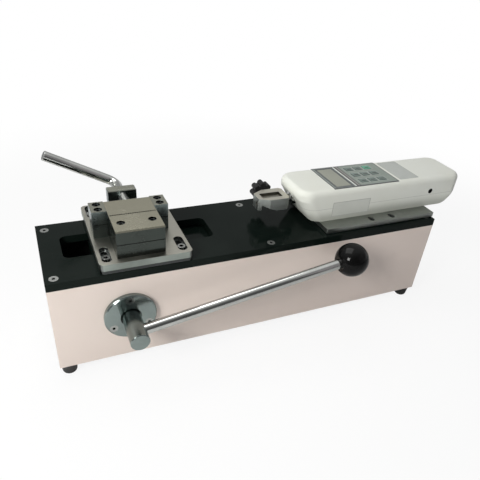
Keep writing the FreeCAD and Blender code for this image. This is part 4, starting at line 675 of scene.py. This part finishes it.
def addLamps():
    # a lamp shines down its own Z, so Z is turned along the line from its aim to its place
    for name, values in lamps.items():
        lamp = bpy.data.lights.new(name, "AREA")
        lamp.shape = "SQUARE"
        lamp.size = values["size"]
        lamp.energy = values["power"]
        lamp.color = values["tint"]
        item = bpy.data.objects.new(name, lamp)
        scene.collection.objects.link(item)
        away = Vector(values["place"]) - Vector(values["aim"])
        item.location = values["place"]
        item.rotation_euler = away.to_track_quat("Z", "Y").to_euler()


# how bright the room looks in a shiny face, by the height it is seen at: sine of the angle, grey; its
# front side is darker, by the share "front", between the two values of Y in "turns"
room = {"light": (0.93, 0.97, 1.0), "strength": 0.22, "front": 0.22, "turns": (-0.70, -0.10),
        "bands": ((-0.1, 0.80), (0.14, 0.85), (0.28, 0.45), (0.46, 0.48), (0.60, 0.70), (1.0, 0.95))}


def addWorld():
    # plain white to the camera; shiny faces see a pale room with a darker band of wall between its
    # floor and its ceiling, and a dark front side; everything else gets an even soft light
    world = bpy.data.worlds.new("studio")
    scene.world = world
    world.use_nodes = True
    tree = world.node_tree
    tree.nodes.clear()
    path = tree.nodes.new("ShaderNodeLightPath")
    place = tree.nodes.new("ShaderNodeTexCoord")
    parts = tree.nodes.new("ShaderNodeSeparateXYZ")
    tree.links.new(place.outputs["Generated"], parts.inputs[0])
    height = tree.nodes.new("ShaderNodeMapRange")
    height.inputs["From Min"].default_value = room["bands"][0][0]
    tree.links.new(parts.outputs["Z"], height.inputs["Value"])
    bands = tree.nodes.new("ShaderNodeValToRGB")
    bands.color_ramp.interpolation = "EASE"
    span = room["bands"][-1][0] - room["bands"][0][0]
    while len(bands.color_ramp.elements) < len(room["bands"]):
        bands.color_ramp.elements.new(0.5)
    for mark, (level, grey) in zip(bands.color_ramp.elements, room["bands"]):
        mark.position = (level - room["bands"][0][0]) / span
        mark.color = (grey, grey, grey, 1)
    tree.links.new(height.outputs["Result"], bands.inputs["Fac"])
    front = tree.nodes.new("ShaderNodeMapRange")
    for name, value in zip(("From Min", "From Max", "To Min"), (*room["turns"], room["front"])):
        front.inputs[name].default_value = value
    tree.links.new(parts.outputs["Y"], front.inputs["Value"])
    seen = tree.nodes.new("ShaderNodeMath")
    seen.operation = "MAXIMUM"
    tree.links.new(path.outputs["Is Camera Ray"], seen.inputs[0])
    tree.links.new(path.outputs["Is Transmission Ray"], seen.inputs[1])
    skies = []
    for colour, strength in ((room["light"], room["strength"]), (None, 1.0), ((1, 1, 1), 1.0)):
        sky = tree.nodes.new("ShaderNodeBackground")
        sky.inputs["Strength"].default_value = strength
        if colour:
            sky.inputs["Color"].default_value = (*colour, 1)
        else:
            tree.links.new(bands.outputs["Color"], sky.inputs["Color"])
            tree.links.new(front.outputs["Result"], sky.inputs["Strength"])
        skies.append(sky.outputs[0])
    result = skies[0]
    for share, sky in ((path.outputs["Is Glossy Ray"], skies[1]), (seen.outputs[0], skies[2])):
        both = tree.nodes.new("ShaderNodeMixShader")
        tree.links.new(share, both.inputs[0])
        tree.links.new(result, both.inputs[1])
        tree.links.new(sky, both.inputs[2])
        result = both.outputs[0]
    out = tree.nodes.new("ShaderNodeOutputWorld")
    tree.links.new(result, out.inputs[0])


addCamera()
addFloor()
addLamps()
addWorld()
print("camera, floor and lamps are in place")
